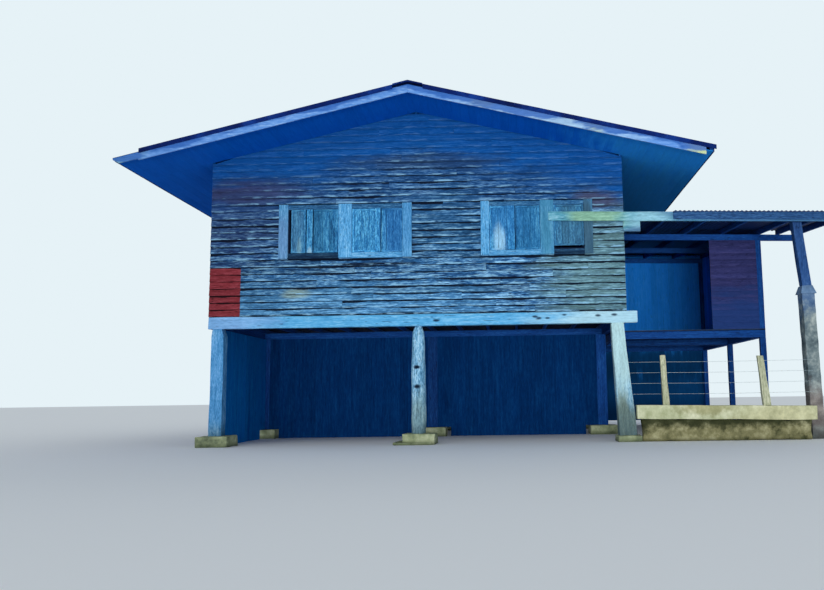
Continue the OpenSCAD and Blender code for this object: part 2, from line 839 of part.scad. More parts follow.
module lean_to_fascia() {
    bare = 28;
    color("#3d4b6c")
        front_board(fascia_x0, lean_end_x, -lean_beam_t - lean_fascia_t, -lean_beam_t, bare);
}

// A short block behind the beam and under it at the house's corner
module lean_to_cleat() {
    drop = 180;
    lap = 60;
    corner_lap = 20;
    x0 = half_w - corner_lap;
    l = 300;
    color("#9aa79c") intersection() {
        lean_frame(0) block([0, 0, -drop], [lean_w, casing_t, lap]);
        block([x0, -casing_t, 0], [x0 + l, 0, ridge_z]);
    }
}

// The space that the doorway's face boards take up, with a clearance on each side
module door_face_space(clearance) {
    side = door_edge + clearance;
    block([half_w, door_y - side, floor_top],
        [half_w + door_face_t + clearance, door_y + door_w + side, floor_top + door_h + side]);
}

// Over a high doorway the rafter beside the house is notched round its face boards
module lean_to_rafters() {
    notch_gap = 10;
    color("#46535f") difference() {
        lean_layer(lean_tie_top, lean_rafter_top) {
            for (x = long_rafter_xs) block([x, -casing_t, 0], [x + lean_rafter_w, lean_y1, ridge_z]);
            for (x = short_rafter_xs)
                block([x, -casing_t, 0], [x + lean_rafter_w, lean_set_back + lean_post_w, ridge_z]);
        }
        door_face_space(notch_gap);
    }
}

// The first beam runs on past the veranda to carry the short rafters
module lean_to_tie_beams() {
    color("#46535f") lean_layer(lean_post_top, lean_tie_top) for (i = [0:2])
        block([half_w, veranda_rows[i], 0],
            [i == 0 ? lean_end_x - lean_rafter_w : lean_x1, veranda_rows[i] + lean_post_w, ridge_z]);
}

module lean_sheet(x0, x1, y0, y1) {
    color("#3a4f66") lean_layer(lean_rafter_top, lean_rafter_top + lean_sheet_t)
        block([x0, y0, 0], [x1, y1, ridge_z]);
}

// The canopy's sheets end over the veranda's first beam
canopy_y1 = lean_set_back + lean_post_w;
// Clearances of the lean-to sheets from the house wall and from each other
wall_gap = 30;
sheet_gap = 5;

module lean_to_roof_sheets() {
    lean_sheet(half_w + wall_gap, lean_x1 + lean_drip, canopy_y1, lean_y1 + screen_t + lean_drip);
}

// Beside the house the sheets start behind the beam; from the fascia's end on they reach out over it
module canopy_sheets() {
    inner_y = 60;
    outer_y = -casing_t - lean_beam_t - lean_fascia_t - lean_drip;
    lean_sheet(half_w + wall_gap, fascia_x0 - sheet_gap, inner_y, canopy_y1);
    lean_sheet(fascia_x0, lean_end_x, outer_y, canopy_y1);
}

// The shaft's foot stands out to the right of its head
column_lean = 40;

module concrete_column() {
    slice = 2;
    head_w = upper_post_w + 30;
    color("#8c8d86") translate([column_x, column_y, 0]) {
        tapered_post([column_lean, 0, 0, column_w, column_w], [0, 0, column_h, column_w, column_w]);
        hull() {
            translate([-cap_w / 2, -cap_w / 2, column_h]) cube([cap_w, cap_w, slice]);
            translate([-head_w / 2, -head_w / 2, column_h + cap_h - slice]) cube([head_w, head_w, slice]);
        }
    }
}

module lean_to_upper_post() {
    foot = column_h + cap_h;
    top = lean_z0 + lean_beam_h;
    color("#6f7686") lean_layer(-house_d, lean_tie_top)
        tapered_post([column_x, column_y, foot, upper_post_w, upper_post_w],
            [column_x - upper_post_lean, column_y, top, upper_post_w - 10, upper_post_w - 10]);
}

module veranda_posts() {
    color("#6d6470") for (y = veranda_rows) {
        block([lean_x1 - lean_post_w, y, lean_pad_h], [lean_x1, y + lean_post_w, veranda_beam_z]);
        lean_layer(-house_d, lean_post_top)
            block([lean_x1 - lean_post_w, y, veranda_top], [lean_x1, y + lean_post_w, ridge_z]);
    }
}

veranda_beam_top = veranda_beam_z + veranda_beam_h;

module veranda_beams() {
    color("#51606b") for (y = veranda_rows)
        block([half_w - sill_recess, y, veranda_beam_z], [lean_x1, y + lean_post_w, veranda_beam_top]);
}

module veranda_edge_beams() {
    color("#51606b") for (i = [0, 1], x = [half_w, lean_x1 - lean_post_w])
        block([x, veranda_rows[i] + lean_post_w, veranda_beam_z],
            [x + lean_post_w, veranda_rows[i + 1], veranda_beam_top]);
}

module veranda_floor() {
    color("#5f564f") block([half_w, lean_set_back, veranda_beam_top], [lean_x1, lean_y1, veranda_top]);
}

// A screen at the outer front corner, then the outer side between the posts, and the back behind them,
// which reaches down to just above the pads
module veranda_walls() {
    x1 = lean_x1 - lean_post_w;
    foot_gap = 20;
    color("#5a4454") {
        lean_layer(-house_d, lean_post_top)
            block([x1 - screen_w, lean_set_back, veranda_top], [x1, lean_set_back + screen_t, ridge_z]);
        lean_layer(-house_d, lean_rafter_top)
            block([half_w, lean_y1, lean_pad_h + foot_gap], [lean_x1, lean_y1 + screen_t, ridge_z]);
        lean_layer(-house_d, lean_tie_top) for (i = [0, 1])
            block([lean_x1 - screen_t, veranda_rows[i] + lean_post_w, veranda_top],
                [lean_x1, veranda_rows[i + 1], ridge_z]);
    }
}

module kerb_beam() {
    color("#cfcaa4") across(-kerb_d / 2, kerb_d / 2)
        polygon([[kerb_x0, kerb_z(kerb_x0) - kerb_h], [kerb_x1, kerb_z(kerb_x1) - kerb_h],
            [kerb_x1, kerb_z(kerb_x1)], [kerb_x0, kerb_z(kerb_x0)]]);
}

module kerb_wall() {
    x0 = kerb_x0 + kerb_wall_inset;
    x1 = kerb_x1 - kerb_wall_inset;
    front_recess = 35;
    back_recess = 10;
    color("#a39f84") across(-kerb_d / 2 + front_recess, kerb_d / 2 - back_recess)
        polygon([[x0, 0], [x1, 0], [x1, kerb_z(x1) - kerb_h], [x0, kerb_z(x0) - kerb_h]]);
}

// Two split stakes on the kerb lean to the left, with straight backs for the wires
module fence_stakes() {
    lean = [28, 70];
    extra_w = 20;
    width = [stake_w, stake_w + extra_w];
    head_share = 0.8;
    foot_d = 85;
    head_d = 58;
    back = kerb_d / 2 - wire_d;
    color("#b5b79a") for (i = [0, 1]) {
        x = stake_xs[i];
        z = kerb_z(x - width[i] / 2);
        tapered_post([x, back - foot_d / 2, z, width[i], foot_d],
            [x - lean[i], back - head_d / 2, z + stake_h, width[i] * head_share, head_d]);
    }
}

// The outer face of the leaning right front post at a height z
function right_post_face(z) = post_x + between(right_post_lean + right_post_foot_w / 2,
    (right_post_foot_w - right_post_taper) / 2, (z - low_pad_h) / (sill_z - low_pad_h));

// The wires run from the right front post, behind the stakes, across the column's face
module fence_wires() {
    spare = 120;
    gap = (stake_h - spare) / wires;
    color("#9aa0a0") for (i = [1:wires]) {
        z = kerb_top + i * gap;
        x0 = right_post_face(z - wire_d / 2);
        translate([x0, (kerb_d - wire_d) / 2, z])
            rotate([0, 90, 0]) cylinder(d = wire_d, h = column_x - x0, $fn = 8);
    }
}

post_pads();
front_left_post();
front_middle_post();
front_right_post();
squared_posts();
end_sill_beams();
side_sill_beams();
cross_beams();
floor_joists();
floor_boards();
front_wall();
rear_wall();
left_wall();
right_wall();
right_wall_over_door();
wall_plates();
front_window_casings();
front_left_shutters();
front_right_shutters();
other_window_casings();
other_shutters();
door_frame();
tie_beams();
king_posts();
ridge_beam();
rafters();
purlin_rows();  // purlins
eave_lookouts();
gable_soffits();
eave_soffits();
eave_boards();
left_roof_sheets();
right_roof_sheets();
ridge_cap();
left_barge_boards();
right_barge_boards();
verge_caps();
underfloor_screen();
lean_to_beam();
lean_to_fascia();
lean_to_cleat();
lean_to_rafters();
lean_to_tie_beams();
lean_to_roof_sheets();
canopy_sheets();
concrete_column();
lean_to_upper_post();
veranda_posts();
veranda_beams();
veranda_edge_beams();
veranda_floor();
veranda_walls();
kerb_beam();
kerb_wall();
fence_stakes();
fence_wires();
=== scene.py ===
# %% [markdown]
# # A weathered timber stilt house
# The solids of the house arrive ready packed, in metres: X runs to the right along the front wall, Y goes
# into the house and Z goes up. Each step below dresses some of them as what they are on the real
# building: lapped boards, panelled shutters, hewn posts, rolled roof sheets, concrete and wire.

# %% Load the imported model
import math, random
import bpy, bmesh
from mathutils import Matrix, Vector, noise


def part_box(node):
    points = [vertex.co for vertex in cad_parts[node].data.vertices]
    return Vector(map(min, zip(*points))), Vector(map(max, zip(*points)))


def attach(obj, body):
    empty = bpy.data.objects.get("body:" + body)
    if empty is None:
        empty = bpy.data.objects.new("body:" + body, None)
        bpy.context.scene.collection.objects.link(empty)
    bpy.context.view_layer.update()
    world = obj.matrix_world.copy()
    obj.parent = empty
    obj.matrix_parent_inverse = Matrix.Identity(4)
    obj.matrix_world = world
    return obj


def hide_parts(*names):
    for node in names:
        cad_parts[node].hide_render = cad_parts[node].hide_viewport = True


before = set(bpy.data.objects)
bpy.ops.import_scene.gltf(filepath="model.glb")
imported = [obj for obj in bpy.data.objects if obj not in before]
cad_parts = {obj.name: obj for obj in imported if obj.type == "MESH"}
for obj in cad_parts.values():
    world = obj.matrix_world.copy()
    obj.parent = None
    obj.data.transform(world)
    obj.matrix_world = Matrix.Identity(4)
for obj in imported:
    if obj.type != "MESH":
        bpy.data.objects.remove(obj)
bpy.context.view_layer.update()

# %% [markdown]
# ## The camera
# The photograph was taken from the yard, a little right of the ridge and 0.8 m over the ground, looking
# slightly up. Its focal length and tilt were worked out from the house's straight edges, in pixels of a
# frame 824 wide. The frame is cut off-centre, so the lens is shifted instead of turned: upright posts
# then stay upright.

# %% Camera
FRAME_W, FOCAL_PX, CENTRE_X = 824, 800.4, 497.07
SENSOR_MM = 36
EYE = (1.694, -13.819, 0.8215)
yaw, pitch, roll = 0.02068, 0.12398, -0.01457


def new_object(name, data):
    thing = bpy.data.objects.new(name, data)
    bpy.context.scene.collection.objects.link(thing)
    return thing


camera = new_object("camera", bpy.data.cameras.new("camera"))
camera.data.sensor_width = SENSOR_MM
camera.data.lens = FOCAL_PX * SENSOR_MM / FRAME_W
camera.data.shift_x = (FRAME_W / 2 - CENTRE_X) / FRAME_W
camera.matrix_world = Matrix.Translation(EYE)
for angle, axis in ((yaw, "Z"), (math.pi / 2 + pitch, "X"), (roll, "Z")):
    camera.matrix_world @= Matrix.Rotation(angle, 4, axis)
bpy.context.scene.camera = camera
print("lens %.1f mm, shift %.3f" % (camera.data.lens, camera.data.shift_x))

# %% [markdown]
# ## Colours and nodes
# Colours are written as the sRGB hex values that a picture shows, and one function turns them to the
# linear values that a renderer adds up. One small function adds a shader node, sets it and links what
# goes into it. A link knows its node tree, so the tree is named only where a chain of nodes starts. A few
# more functions give short names to the nodes that come up again and again.

# %% Colour and node helpers
def linear(hex_colour):
    channels = [int(hex_colour[i:i + 2], 16) / 255 for i in (1, 3, 5)]
    return tuple(c / 12.92 if c <= 0.04045 else ((c + 0.055) / 1.055) ** 2.4 for c in channels) + (1.0,)


def add(kind, inputs=None, tree=None, **settings):
    """Adds a node to the tree of its first link; a node that nothing is linked into is told its tree."""
    inputs = inputs or {}
    links = {key: value for key, value in inputs.items() if isinstance(value, bpy.types.NodeSocket)}
    tree = tree or next(iter(links.values())).id_data
    node = tree.nodes.new("ShaderNode" + kind)
    for name, value in settings.items():
        setattr(node, name, value)
    for key, value in inputs.items():
        if key in links:
            tree.links.new(value, node.inputs[key])
        else:
            node.inputs[key].default_value = value
    return node


def calc(operation, *values):
    return add("Math", dict(enumerate(values)), operation=operation).outputs[0]


def vector_calc(operation, *values):
    return add("VectorMath", dict(enumerate(values)), operation=operation).outputs[0]


def scaled(colour, factor):
    return add("VectorMath", {0: colour, "Scale": factor}, operation="SCALE").outputs[0]


def remap(value, low, high, first, last, kind="LINEAR"):
    inputs = {0: value, 1: low, 2: high, 3: first, 4: last}
    return add("MapRange", inputs, interpolation_type=kind).outputs[0]


def blend(share, first, second):
    return add("Mix", {0: share, 6: first, 7: second}, data_type="RGBA").outputs[2]


def clouds_of(place, scale, detail, roughness=0.5):
    inputs = {"Vector": place, "Scale": scale, "Detail": detail, "Roughness": roughness}
    return add("TexNoise", inputs).outputs[0]


def three_tones(value, dark, mid, pale, low=0.0, high=1.0):
    node = add("ValToRGB", {0: value})
    tones = node.color_ramp.elements
    tones[0].position, tones[0].color = low, linear(dark)
    tones[1].position, tones[1].color = high, linear(pale)
    tones.new(0.5).color = linear(mid)
    return node.outputs[0]


def object_place(tree):
    return add("TexCoord", tree=tree).outputs["Object"]


print("middle grey #808080 is %.3f in linear light" % linear("#808080")[0])

# %% [markdown]
# A material starts as Blender's Principled surface. It ends with a colour, a relief that is drawn as
# bump, and how rough and shiny the surface is.

# %% Surfaces
def new_material(name):
    material = bpy.data.materials.new(name)
    material.use_nodes = True
    tree = material.node_tree
    return material, tree, tree.nodes["Principled BSDF"]


def finish_surface(surface, colour, height, strength, depth, roughness, shine):
    relief = add("Bump", {"Strength": strength, "Distance": depth, "Height": height}).outputs[0]
    surface.id_data.links.new(colour, surface.inputs["Base Color"])
    surface.id_data.links.new(relief, surface.inputs["Normal"])
    surface.inputs["Roughness"].default_value = roughness
    surface.inputs["Specular IOR Level"].default_value = shine


def plank_marks(tree):
    """What every piece carries: its place in the grain, then tone, share of its width and dark wash, which
    is damp on some pieces and painted shade on others.
    """
    grain, marks = [add("Attribute", tree=tree, attribute_name=name).outputs["Vector"]
                    for name in ("grain", "tone")]
    return grain, *add("SeparateXYZ", {0: marks}).outputs


# %% [markdown]
# ## Where the weather reaches, and where shade is painted
# One material serves all the boards of a wall, yet no two places on it look alike: the top under the eaves
# is painted dark as painted shade, splashed rain bleaches the foot, and algae films one corner. So a
# material takes a list of zones. A zone is a mask with a ragged edge and a colour: mostly what the weather
# left there, while some zones hold painted shade and a few painted light. The mask is a round spot with
# its centre and reach in metres, or all that lies close under the roof. Most zones are spots as seen from
# the front, which go all the way through the house.

# %% Zones
THROUGH = 99
SHEET_DEPTH = 0.045
roof_low, roof_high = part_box("right_roof_sheets")
ridge_z = roof_high.z
cos_pitch = math.cos(math.radians(13.4))
tan_pitch = (roof_high.z - roof_low.z - SHEET_DEPTH / cos_pitch) / roof_high.x
print("ridge %.2f m, roof pitch %.1f degrees" % (ridge_z, math.degrees(math.atan(tan_pitch))))


def spot(centre, reach):
    def mask(ragged):
        away = vector_calc("SUBTRACT", object_place(ragged.id_data), centre)
        away = vector_calc("DIVIDE", away, reach)
        distance = add("VectorMath", {0: away}, operation="LENGTH").outputs["Value"]
        edge = calc("MULTIPLY_ADD", ragged, 1.6, distance)
        return remap(edge, 1.2, 2.0, 1, 0, "SMOOTHSTEP")
    return mask


# This mask is used for painted shade: the dark close under the eaves and under the verge caps.
def under_roof(near, far):
    def mask(ragged):
        x, y, z = add("SeparateXYZ", {0: object_place(ragged.id_data)}).outputs
        roof_level = calc("MULTIPLY_ADD", calc("ABSOLUTE", x), tan_pitch, z)
        edge = calc("MULTIPLY_ADD", ragged, 0.6, roof_level)
        return remap(edge, ridge_z + 0.3 - far, ridge_z + 0.3 - near, 0, 1, "SMOOTHSTEP")
    return mask


def through_spot(x, z, reach_x, reach_z, colour, strength):
    return spot((x, 0, z), (reach_x, THROUGH, reach_z)), colour, strength


def with_zones(colour, zones, ragged, light):
    """light gives the play of light and dark inside a zone of a given strength."""
    for mask, tint, strength in zones:
        share = calc("MULTIPLY", mask(ragged), strength)
        colour = blend(share, colour, scaled(linear(tint)[:3], light(strength)))
    return colour


# %% [markdown]
# ## Old wood
# Tropical hardwood that has stood in sun and rain turns grey: light washes the brown out of the surface,
# rain cuts the soft grain away, and the hard grain stays as fine ridges. The eye sees pale and dark
# streaks, short dark cracks along the grain, and a tone that differs from plank to plank. Real grain
# lines are 1 to 3 mm apart, which is far finer than a pixel here, so the streaks are drawn 10 to 30 mm
# wide. Each plank carries two attributes: "grain", its own place in the tree in metres (along, then two
# ways across), and "tone", which holds the plank's own tone, the share of its width from foot to top, and
# its dark wash: damp on some planks, painted shade on others.

# %% Old wood
def grain_lines(grain, length_mm, width_mm, detail=3.0):
    stretch = (1000 / length_mm, 1000 / width_mm, 1000 / width_mm)
    return clouds_of(vector_calc("MULTIPLY", grain, stretch), 1.0, detail, 0.6)


def with_lap_lines(colour, grain, share, patches, strength, zones, damp, pale):
    """Painted shade under the board above and painted highlight dashes on the foot; both fade in the first
    zone.
    """
    calm = remap(zones[0][0](patches), 0, 1, 1, 0.2) if zones else 1.0
    # The lap lines are painted shade: a dark line under each board's foot, in the dark wash colour.
    thick = remap(grain_lines(grain, 900, 4000, 4.0), 0.34, 0.66, -0.03, 0.31)
    lap_shade = remap(calc("ADD", share, thick), 0.80, 0.84, 0, strength)
    colour = blend(calc("MULTIPLY", lap_shade, calm), colour, linear(damp))
    # The pale dashes on each foot are painted highlights, where the foot's edge would catch the light.
    highlight_dashes = remap(grain_lines(grain, 260, 40), 0.50, 0.60, 0, 0.75)
    foot = calc("MULTIPLY", remap(share, 0.12, 0.30, 1, 0), highlight_dashes)
    return blend(calc("MULTIPLY", foot, calm), colour, linear(pale))


def old_wood(name, dark, mid, pale, zones=(), streak=(330, 24), contrast=1.0, spread=0.3, cracks=0.8,
             crack_share=0.30, lap_lines=0.0, damp="#0a1a2c", roughness=0.82, shine=0.12):
    """Three tones of wood; streak is in mm along and across, damp is the colour of cracks, of wet and of
    painted shade.
    """
    material, tree, surface = new_material(name)
    grain, tone, share, wash = plank_marks(tree)
    long_mm, wide_mm = streak
    streaks = grain_lines(grain, long_mm, wide_mm)
    fibres = grain_lines(grain, long_mm * 0.22, wide_mm * 0.5)
    patches = grain_lines(grain, 900, 240, 4.0)
    mixed = calc("MULTIPLY_ADD", patches, 0.5, calc("ADD", streaks, fibres))
    middle, half_range = 1.25, 0.36 / contrast
    shade = remap(mixed, middle - half_range, middle + half_range, 0, 1)
    colour = three_tones(shade, dark, mid, pale)
    colour = scaled(colour, remap(tone, 0, 1, 1 - spread, 1 + spread))
    flecks = grain_lines(grain, long_mm * 0.35, wide_mm * 0.6, 2.0)
    crack = remap(flecks, crack_share, crack_share + 0.08, cracks, 0)
    colour = blend(crack, colour, linear(damp))
    play = lambda strength: remap(shade, 0, 1, 0.38 + 0.5 * strength, 1.62 - 0.5 * strength)
    colour = with_zones(colour, zones, patches, play)
    if lap_lines:
        colour = with_lap_lines(colour, grain, share, patches, lap_lines, zones, damp, pale)
    # The dark wash darkens damp wood. On window linings, the strip beside a cover board, recessed sills and
    # floor undersides it is painted shade.
    colour = blend(remap(wash, 0, 1, 0, 1), colour, linear(damp))
    height = calc("MULTIPLY_ADD", crack, -1.2, mixed)
    finish_surface(surface, colour, height, 0.7, 0.004, roughness, shine)
    return material


# %% [markdown]
# ## Sawn stock
# Everything wooden is a plank or a beam: a long solid with four edges. Stock collects many of them in one
# mesh. A plank is lofted between its two end faces, with its edges planed off a little, a slight bow
# along its length, and edges that wear more in some places than in others, because no old plank is a
# perfect box. Blender's vector noise starts from the clock unless it has a seed. It gets one here, as all
# random numbers in this script do, so that each run gives the same house.

# %% Stock
NOISE_SEED = 5
noise.seed_set(NOISE_SEED)


def random_place(rng):
    return Vector([rng.uniform(0, 90) for _ in range(3)])


class Stock:
    def __init__(self):
        self.points, self.faces, self.grain, self.tone = [], [], [], []

    def loft(self, rings, grains, tones):
        first, count = len(self.points), len(rings[0])
        for ring, grain, tone in zip(rings, grains, tones):
            self.points += ring
            self.grain += grain
            self.tone += tone
        for r in range(len(rings) - 1):
            a = first + r * count
            for i in range(count):
                j = (i + 1) % count
                self.faces.append((a + i, a + j, a + count + j, a + count + i))
        last = first + (len(rings) - 1) * count
        for i in range(count // 2 - 1):
            j = count - 1 - i
            self.faces.append((first + i, first + j, first + j - 1, first + i + 1))
            self.faces.append((last + i, last + i + 1, last + j - 1, last + j))

    def plank(self, start, end, rng, bevel=0.002, step=0.25, bow=0.003, wear=0.3, tone=None, damp=(0, 0)):
        """Two end faces, each with four corners: lower front, lower back, upper back, upper front."""
        tone = rng.random() if tone is None else tone
        length = max((end[0] - start[0]).length, (end[3] - start[3]).length, 1e-3)
        steps = max(1, round(length / step))
        shift = random_place(rng)
        seed = rng.uniform(0, 500)
        rings, grains, tones = [], [], []
        for k in range(steps + 1):
            along = k / steps * length
            corners = [a.lerp(b, k / steps) for a, b in zip(start, end)]
            bend = noise.noise_vector(Vector((seed, along * 0.7, 0))) * bow
            tall, thick = (corners[3] - corners[0]).length, (corners[1] - corners[0]).length
            local = [(0, 0), (0, thick), (tall, thick), (tall, 0)]
            ring, grain, marks = [], [], []
            for i in range(4):
                for j, other in ((0, (i - 1) % 4), (1, (i + 1) % 4)):
                    side = corners[other] - corners[i]
                    chipped = max(0, noise.noise(Vector((seed + i * 7, along * 3, j))))
                    worn = bevel * (1 + wear * 4 * chipped)
                    reach = min(worn / max(side.length, 1e-6), 0.45)
                    a, b = [p + (q - p) * reach for p, q in zip(local[i], local[other])]
                    share = a / max(tall, 1e-6)
                    ring.append(corners[i] + side * reach + bend)
                    grain.append(Vector((along, a, b)) + shift)
                    marks.append(Vector((tone, share, damp[0] + (damp[1] - damp[0]) * share)))
            rings.append(ring)
            grains.append(grain)
            tones.append(marks)
        self.loft(rings, grains, tones)

    def box(self, low, high, rng, axis=0, **how):
        """A straight plank in the box from low to high, with its length along the given axis."""
        across, through = [(2, 1), (2, 0), (0, 1)][axis]
        ends = []
        for end in (low[axis], high[axis]):
            corners = []
            for a, b in ((low, low), (low, high), (high, high), (high, low)):
                point = low.copy()
                point[axis], point[across], point[through] = end, a[across], b[through]
                corners.append(point)
            ends.append(corners)
        self.plank(*ends, rng, **how)

    def add_mesh(self, bm, axis, rng, tone=None, damp=0.0, damp_z=0.0):
        """A finished solid, with its grain along the given axis, and damp up to a height over its foot."""
        tone = rng.random() if tone is None else tone
        shift = random_place(rng)
        first = len(self.points)
        foot = min(v.co.z for v in bm.verts)
        bm.verts.index_update()
        for v in bm.verts:
            wash = damp * max(0.0, 1 - (v.co.z - foot) / damp_z) if damp_z else damp
            self.points.append(v.co.copy())
            self.grain.append(Vector([v.co[(axis + i) % 3] for i in range(3)]) + shift)
            self.tone.append(Vector((tone, 0.5, wash)))
        self.faces += [tuple(first + v.index for v in face.verts) for face in bm.faces]

    def piece(self, name, material, slot, *nodes, smooth=35):
        mesh = bpy.data.meshes.new(name)
        mesh.from_pydata([tuple(p) for p in self.points], [], self.faces)
        for label, values in (("grain", self.grain), ("tone", self.tone)):
            layer = mesh.attributes.new(label, "FLOAT_VECTOR", "POINT")
            layer.data.foreach_set("vector", [c for v in values for c in v])
        mesh.shade_smooth()
        mesh.set_sharp_from_angle(angle=math.radians(smooth))
        bm = bmesh.new()
        bm.from_mesh(mesh)
        bmesh.ops.recalc_face_normals(bm, faces=bm.faces)
        bm.to_mesh(mesh)
        bm.free()
        mesh.materials.append(material)
        piece = new_object(name, mesh)
        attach(piece, "root")
        if nodes:
            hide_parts(*nodes)
        print("%-24s %6d faces" % (name, len(mesh.polygons)))


# %% [markdown]
# ## Cutting a solid to its real surface
# Beams, posts, pads and the column already have the right form as solids. Each gets a copy that is closer
# to the real surface: its edges are rounded, it is cut into short lengths, and every point is moved a few
# millimetres by a noise, slow along a beam and quick in concrete.

# %% Dressed copies of solids
def loose_solids(node):
    whole = bmesh.new()
    whole.from_mesh(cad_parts[node].data)
    bmesh.ops.remove_doubles(whole, verts=whole.verts, dist=1e-5)
    bmesh.ops.dissolve_limit(whole, angle_limit=0.004, verts=whole.verts, edges=whole.edges)
    seen, parts = set(), []
    for vert in whole.verts:
        if vert in seen:
            continue
        part, copies, front = bmesh.new(), {}, [vert]
        seen.add(vert)
        while front:
            at = front.pop()
            copies[at] = part.verts.new(at.co)
            for edge in at.link_edges:
                other = edge.other_vert(at)
                if other not in seen:
                    seen.add(other)
                    front.append(other)
        for face in whole.faces:
            if face.verts[0] in copies:
                part.faces.new([copies[v] for v in face.verts])
        parts.append(part)
    whole.free()
    return parts


def box_of(bm):
    return [Vector([pick(v.co[i] for v in bm.verts) for i in range(3)]) for pick in (min, max)]


def dress(stock, node, rng, bevel=0.004, step=0.3, cross_step=None, rough=0.003, wave=(1.5, 8), segments=1,
          **marks):
    """step and cross_step are the lengths it is cut to, wave how quick the noise is along and across."""
    for part in loose_solids(node):
        low, high = box_of(part)
        size = high - low
        axis = max(range(3), key=lambda i: size[i])
        bmesh.ops.bevel(part, geom=part.edges[:], offset=bevel, segments=segments, profile=0.6,
                        affect="EDGES", clamp_overlap=True)
        for i in range(3):
            pace = step if i == axis else cross_step
            count = int(size[i] / pace) if pace else 0
            side = Vector([float(j == i) for j in range(3)])
            for k in range(1, count):
                geometry = part.verts[:] + part.edges[:] + part.faces[:]
                cut = side * (low[i] + size[i] * k / count)
                bmesh.ops.bisect_plane(part, geom=geometry, plane_co=cut, plane_no=side)
        seed = Vector((rng.uniform(0, 90), 0, 0))
        for v in part.verts:
            at = Vector([v.co[i] * wave[0 if i == axis else 1] for i in range(3)])
            v.co += noise.noise_vector(at + seed) * rough
            v.co.z = max(v.co.z, 0.0)
        stock.add_mesh(part, axis, rng, **marks)
        part.free()


def dressed_piece(name, material, slot, rng, wear, smooth=35):
    """One piece out of several nodes; wear gives each node's settings."""
    stock = Stock()
    for node, how in wear.items():
        dress(stock, node, rng, **how)
    stock.piece(name, material, slot, *wear, smooth=smooth)


# %% [markdown]
# ## Lapped boards
# The walls are clad with horizontal boards about 150 mm wide that show 124 mm each: every board's foot
# hangs over the top of the one below, so rain runs off. A board is 16 mm thick at its foot and leans back
# to its top. Butt joints fall at random and the lower edges wave a little. The shade under each lap is
# painted on as a dark line, and pale dashes on each foot are painted highlights. The boards hang on studs,
# which show only from inside. One function clads any wall, in the wall's own terms: a distance along it,
# a depth into it and a height.

# %% Sizes from the solids
house_low, house_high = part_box("front_wall")
half_w, wall_foot, gable_peak = house_high.x, house_low.z, house_high.z
wall_t = house_high.y - house_low.y
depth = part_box("rear_wall")[1].y
side_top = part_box("left_wall")[1].z
exposure, lap = 0.124, 0.026
board_foot = wall_foot + 0.009
foot_t, top_t, set_back = 0.016, 0.009, 0.019
stud_w, stud_face, stud_pace = 0.045, 0.032, 0.61
print("front wall %.2f m wide, foot %.2f m, peak %.2f m" % (2 * half_w, wall_foot, gable_peak))


# %% Lapped wall
def lapped_wall(stock, place, first, last, wall_top, reach_at, holes, rng, lengths=(1.3, 3.4),
                limit=math.inf):
    """reach_at(z) gives the wall's two ends at a height, and no board starts over the limit."""
    z, fine, sliver, joint_clear = board_foot, 0.004, 0.02, 0.3
    while z < min(wall_top, limit):
        low, high = z + rng.uniform(-0.002, 0.002), z + exposure + lap
        while high - fine >= wall_top and high > low + 3 * fine:
            high -= fine
        ends_low, ends_high = reach_at(low), reach_at(high)
        joints = []
        x = first + rng.uniform(*lengths)
        while x < last - 0.5:
            joints.append(x)
            x += rng.uniform(*lengths)
        spans = [ends_low]
        for left, end, foot, top in holes:
            if foot + sliver < z + exposure and z < top - sliver:
                split = [s for a, b in spans for s in ((a, min(b, left)), (max(a, end), b))]
                spans = [(a, b) for a, b in split if b - a > sliver]
        for a, b in spans:
            inner_a, inner_b = max(a, ends_high[0]) + joint_clear, min(b, ends_high[1]) - joint_clear
            cuts = [a] + [joint for joint in joints if inner_a < joint < inner_b] + [b]
            for left, end in zip(cuts, cuts[1:]):
                top_left = ends_high[0] if left == ends_low[0] else left
                top_end = ends_high[1] if end == ends_low[1] else end
                gap, out = rng.uniform(0.0005, 0.002), rng.uniform(0, 0.0025)
                faces = []
                for bottom, top in ((left + gap, top_left + gap), (end - gap, top_end - gap)):
                    foot = low + rng.uniform(-0.0025, 0.0025)
                    faces.append([
                        place(bottom, out, foot), place(bottom, out + foot_t, foot),
                        place(top, out + set_back + top_t, high), place(top, out + set_back, high)])
                if top_end - top_left > sliver:
                    stock.plank(*faces, rng, step=0.22, wear=1.0, tone=rng.uniform(0.2, 0.8))
        z += exposure


def studs(stock, place, first, last, top_at, holes, rng):
    count = max(1, round((last - first) / stud_pace))
    for i in range(count + 1):
        x = first + (last - first - stud_w) * i / count
        if any(hole[0] - stud_w < x < hole[1] for hole in holes):
            continue
        section = ((x, stud_face), (x, wall_t), (x + stud_w, wall_t), (x + stud_w, stud_face))
        ends = [[place(u, y, z(u)) for u, y in section] for z in (lambda u: wall_foot, top_at)]
        stock.plank(*ends, rng, bevel=0.003, step=0.5, tone=rng.uniform(0.2, 0.6))


def gable_reach(z):
    reach = min(half_w, max(0.01, (gable_peak - z) / tan_pitch))
    return -reach, reach


# %% Window openings
casing_low, casing_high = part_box("front_window_casings")
casing_h, sill_h, ear = 0.08, 0.018, 0.007
win_foot, win_top = casing_low.z + (casing_h + sill_h), casing_high.z - (casing_h + ear)
left_pair_x, right_pair_x, half_mullion = -1.252, 2.3, 0.1175
wide, narrow = 0.894, 0.533
front_openings = []
for pair_x, right_w in ((left_pair_x, wide), (right_pair_x, narrow)):
    front_openings.append((pair_x - half_mullion - wide, pair_x - half_mullion))
    front_openings.append((pair_x + half_mullion, pair_x + half_mullion + right_w))
rear_openings = [(x - wide / 2, x + wide / 2) for x in (-half_w / 2, half_w / 2)]
left_openings = [(-depth * share - wide / 2, -depth * share + wide / 2) for share in (0.3, 0.7)]
door_y, door_w, door_top = 5.3, 0.9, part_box("right_wall_over_door")[0].z
print("windows from %.3f to %.3f m" % (win_foot, win_top))


def holes_of(openings):
    return [(a, b, win_foot, win_top) for a, b in openings]
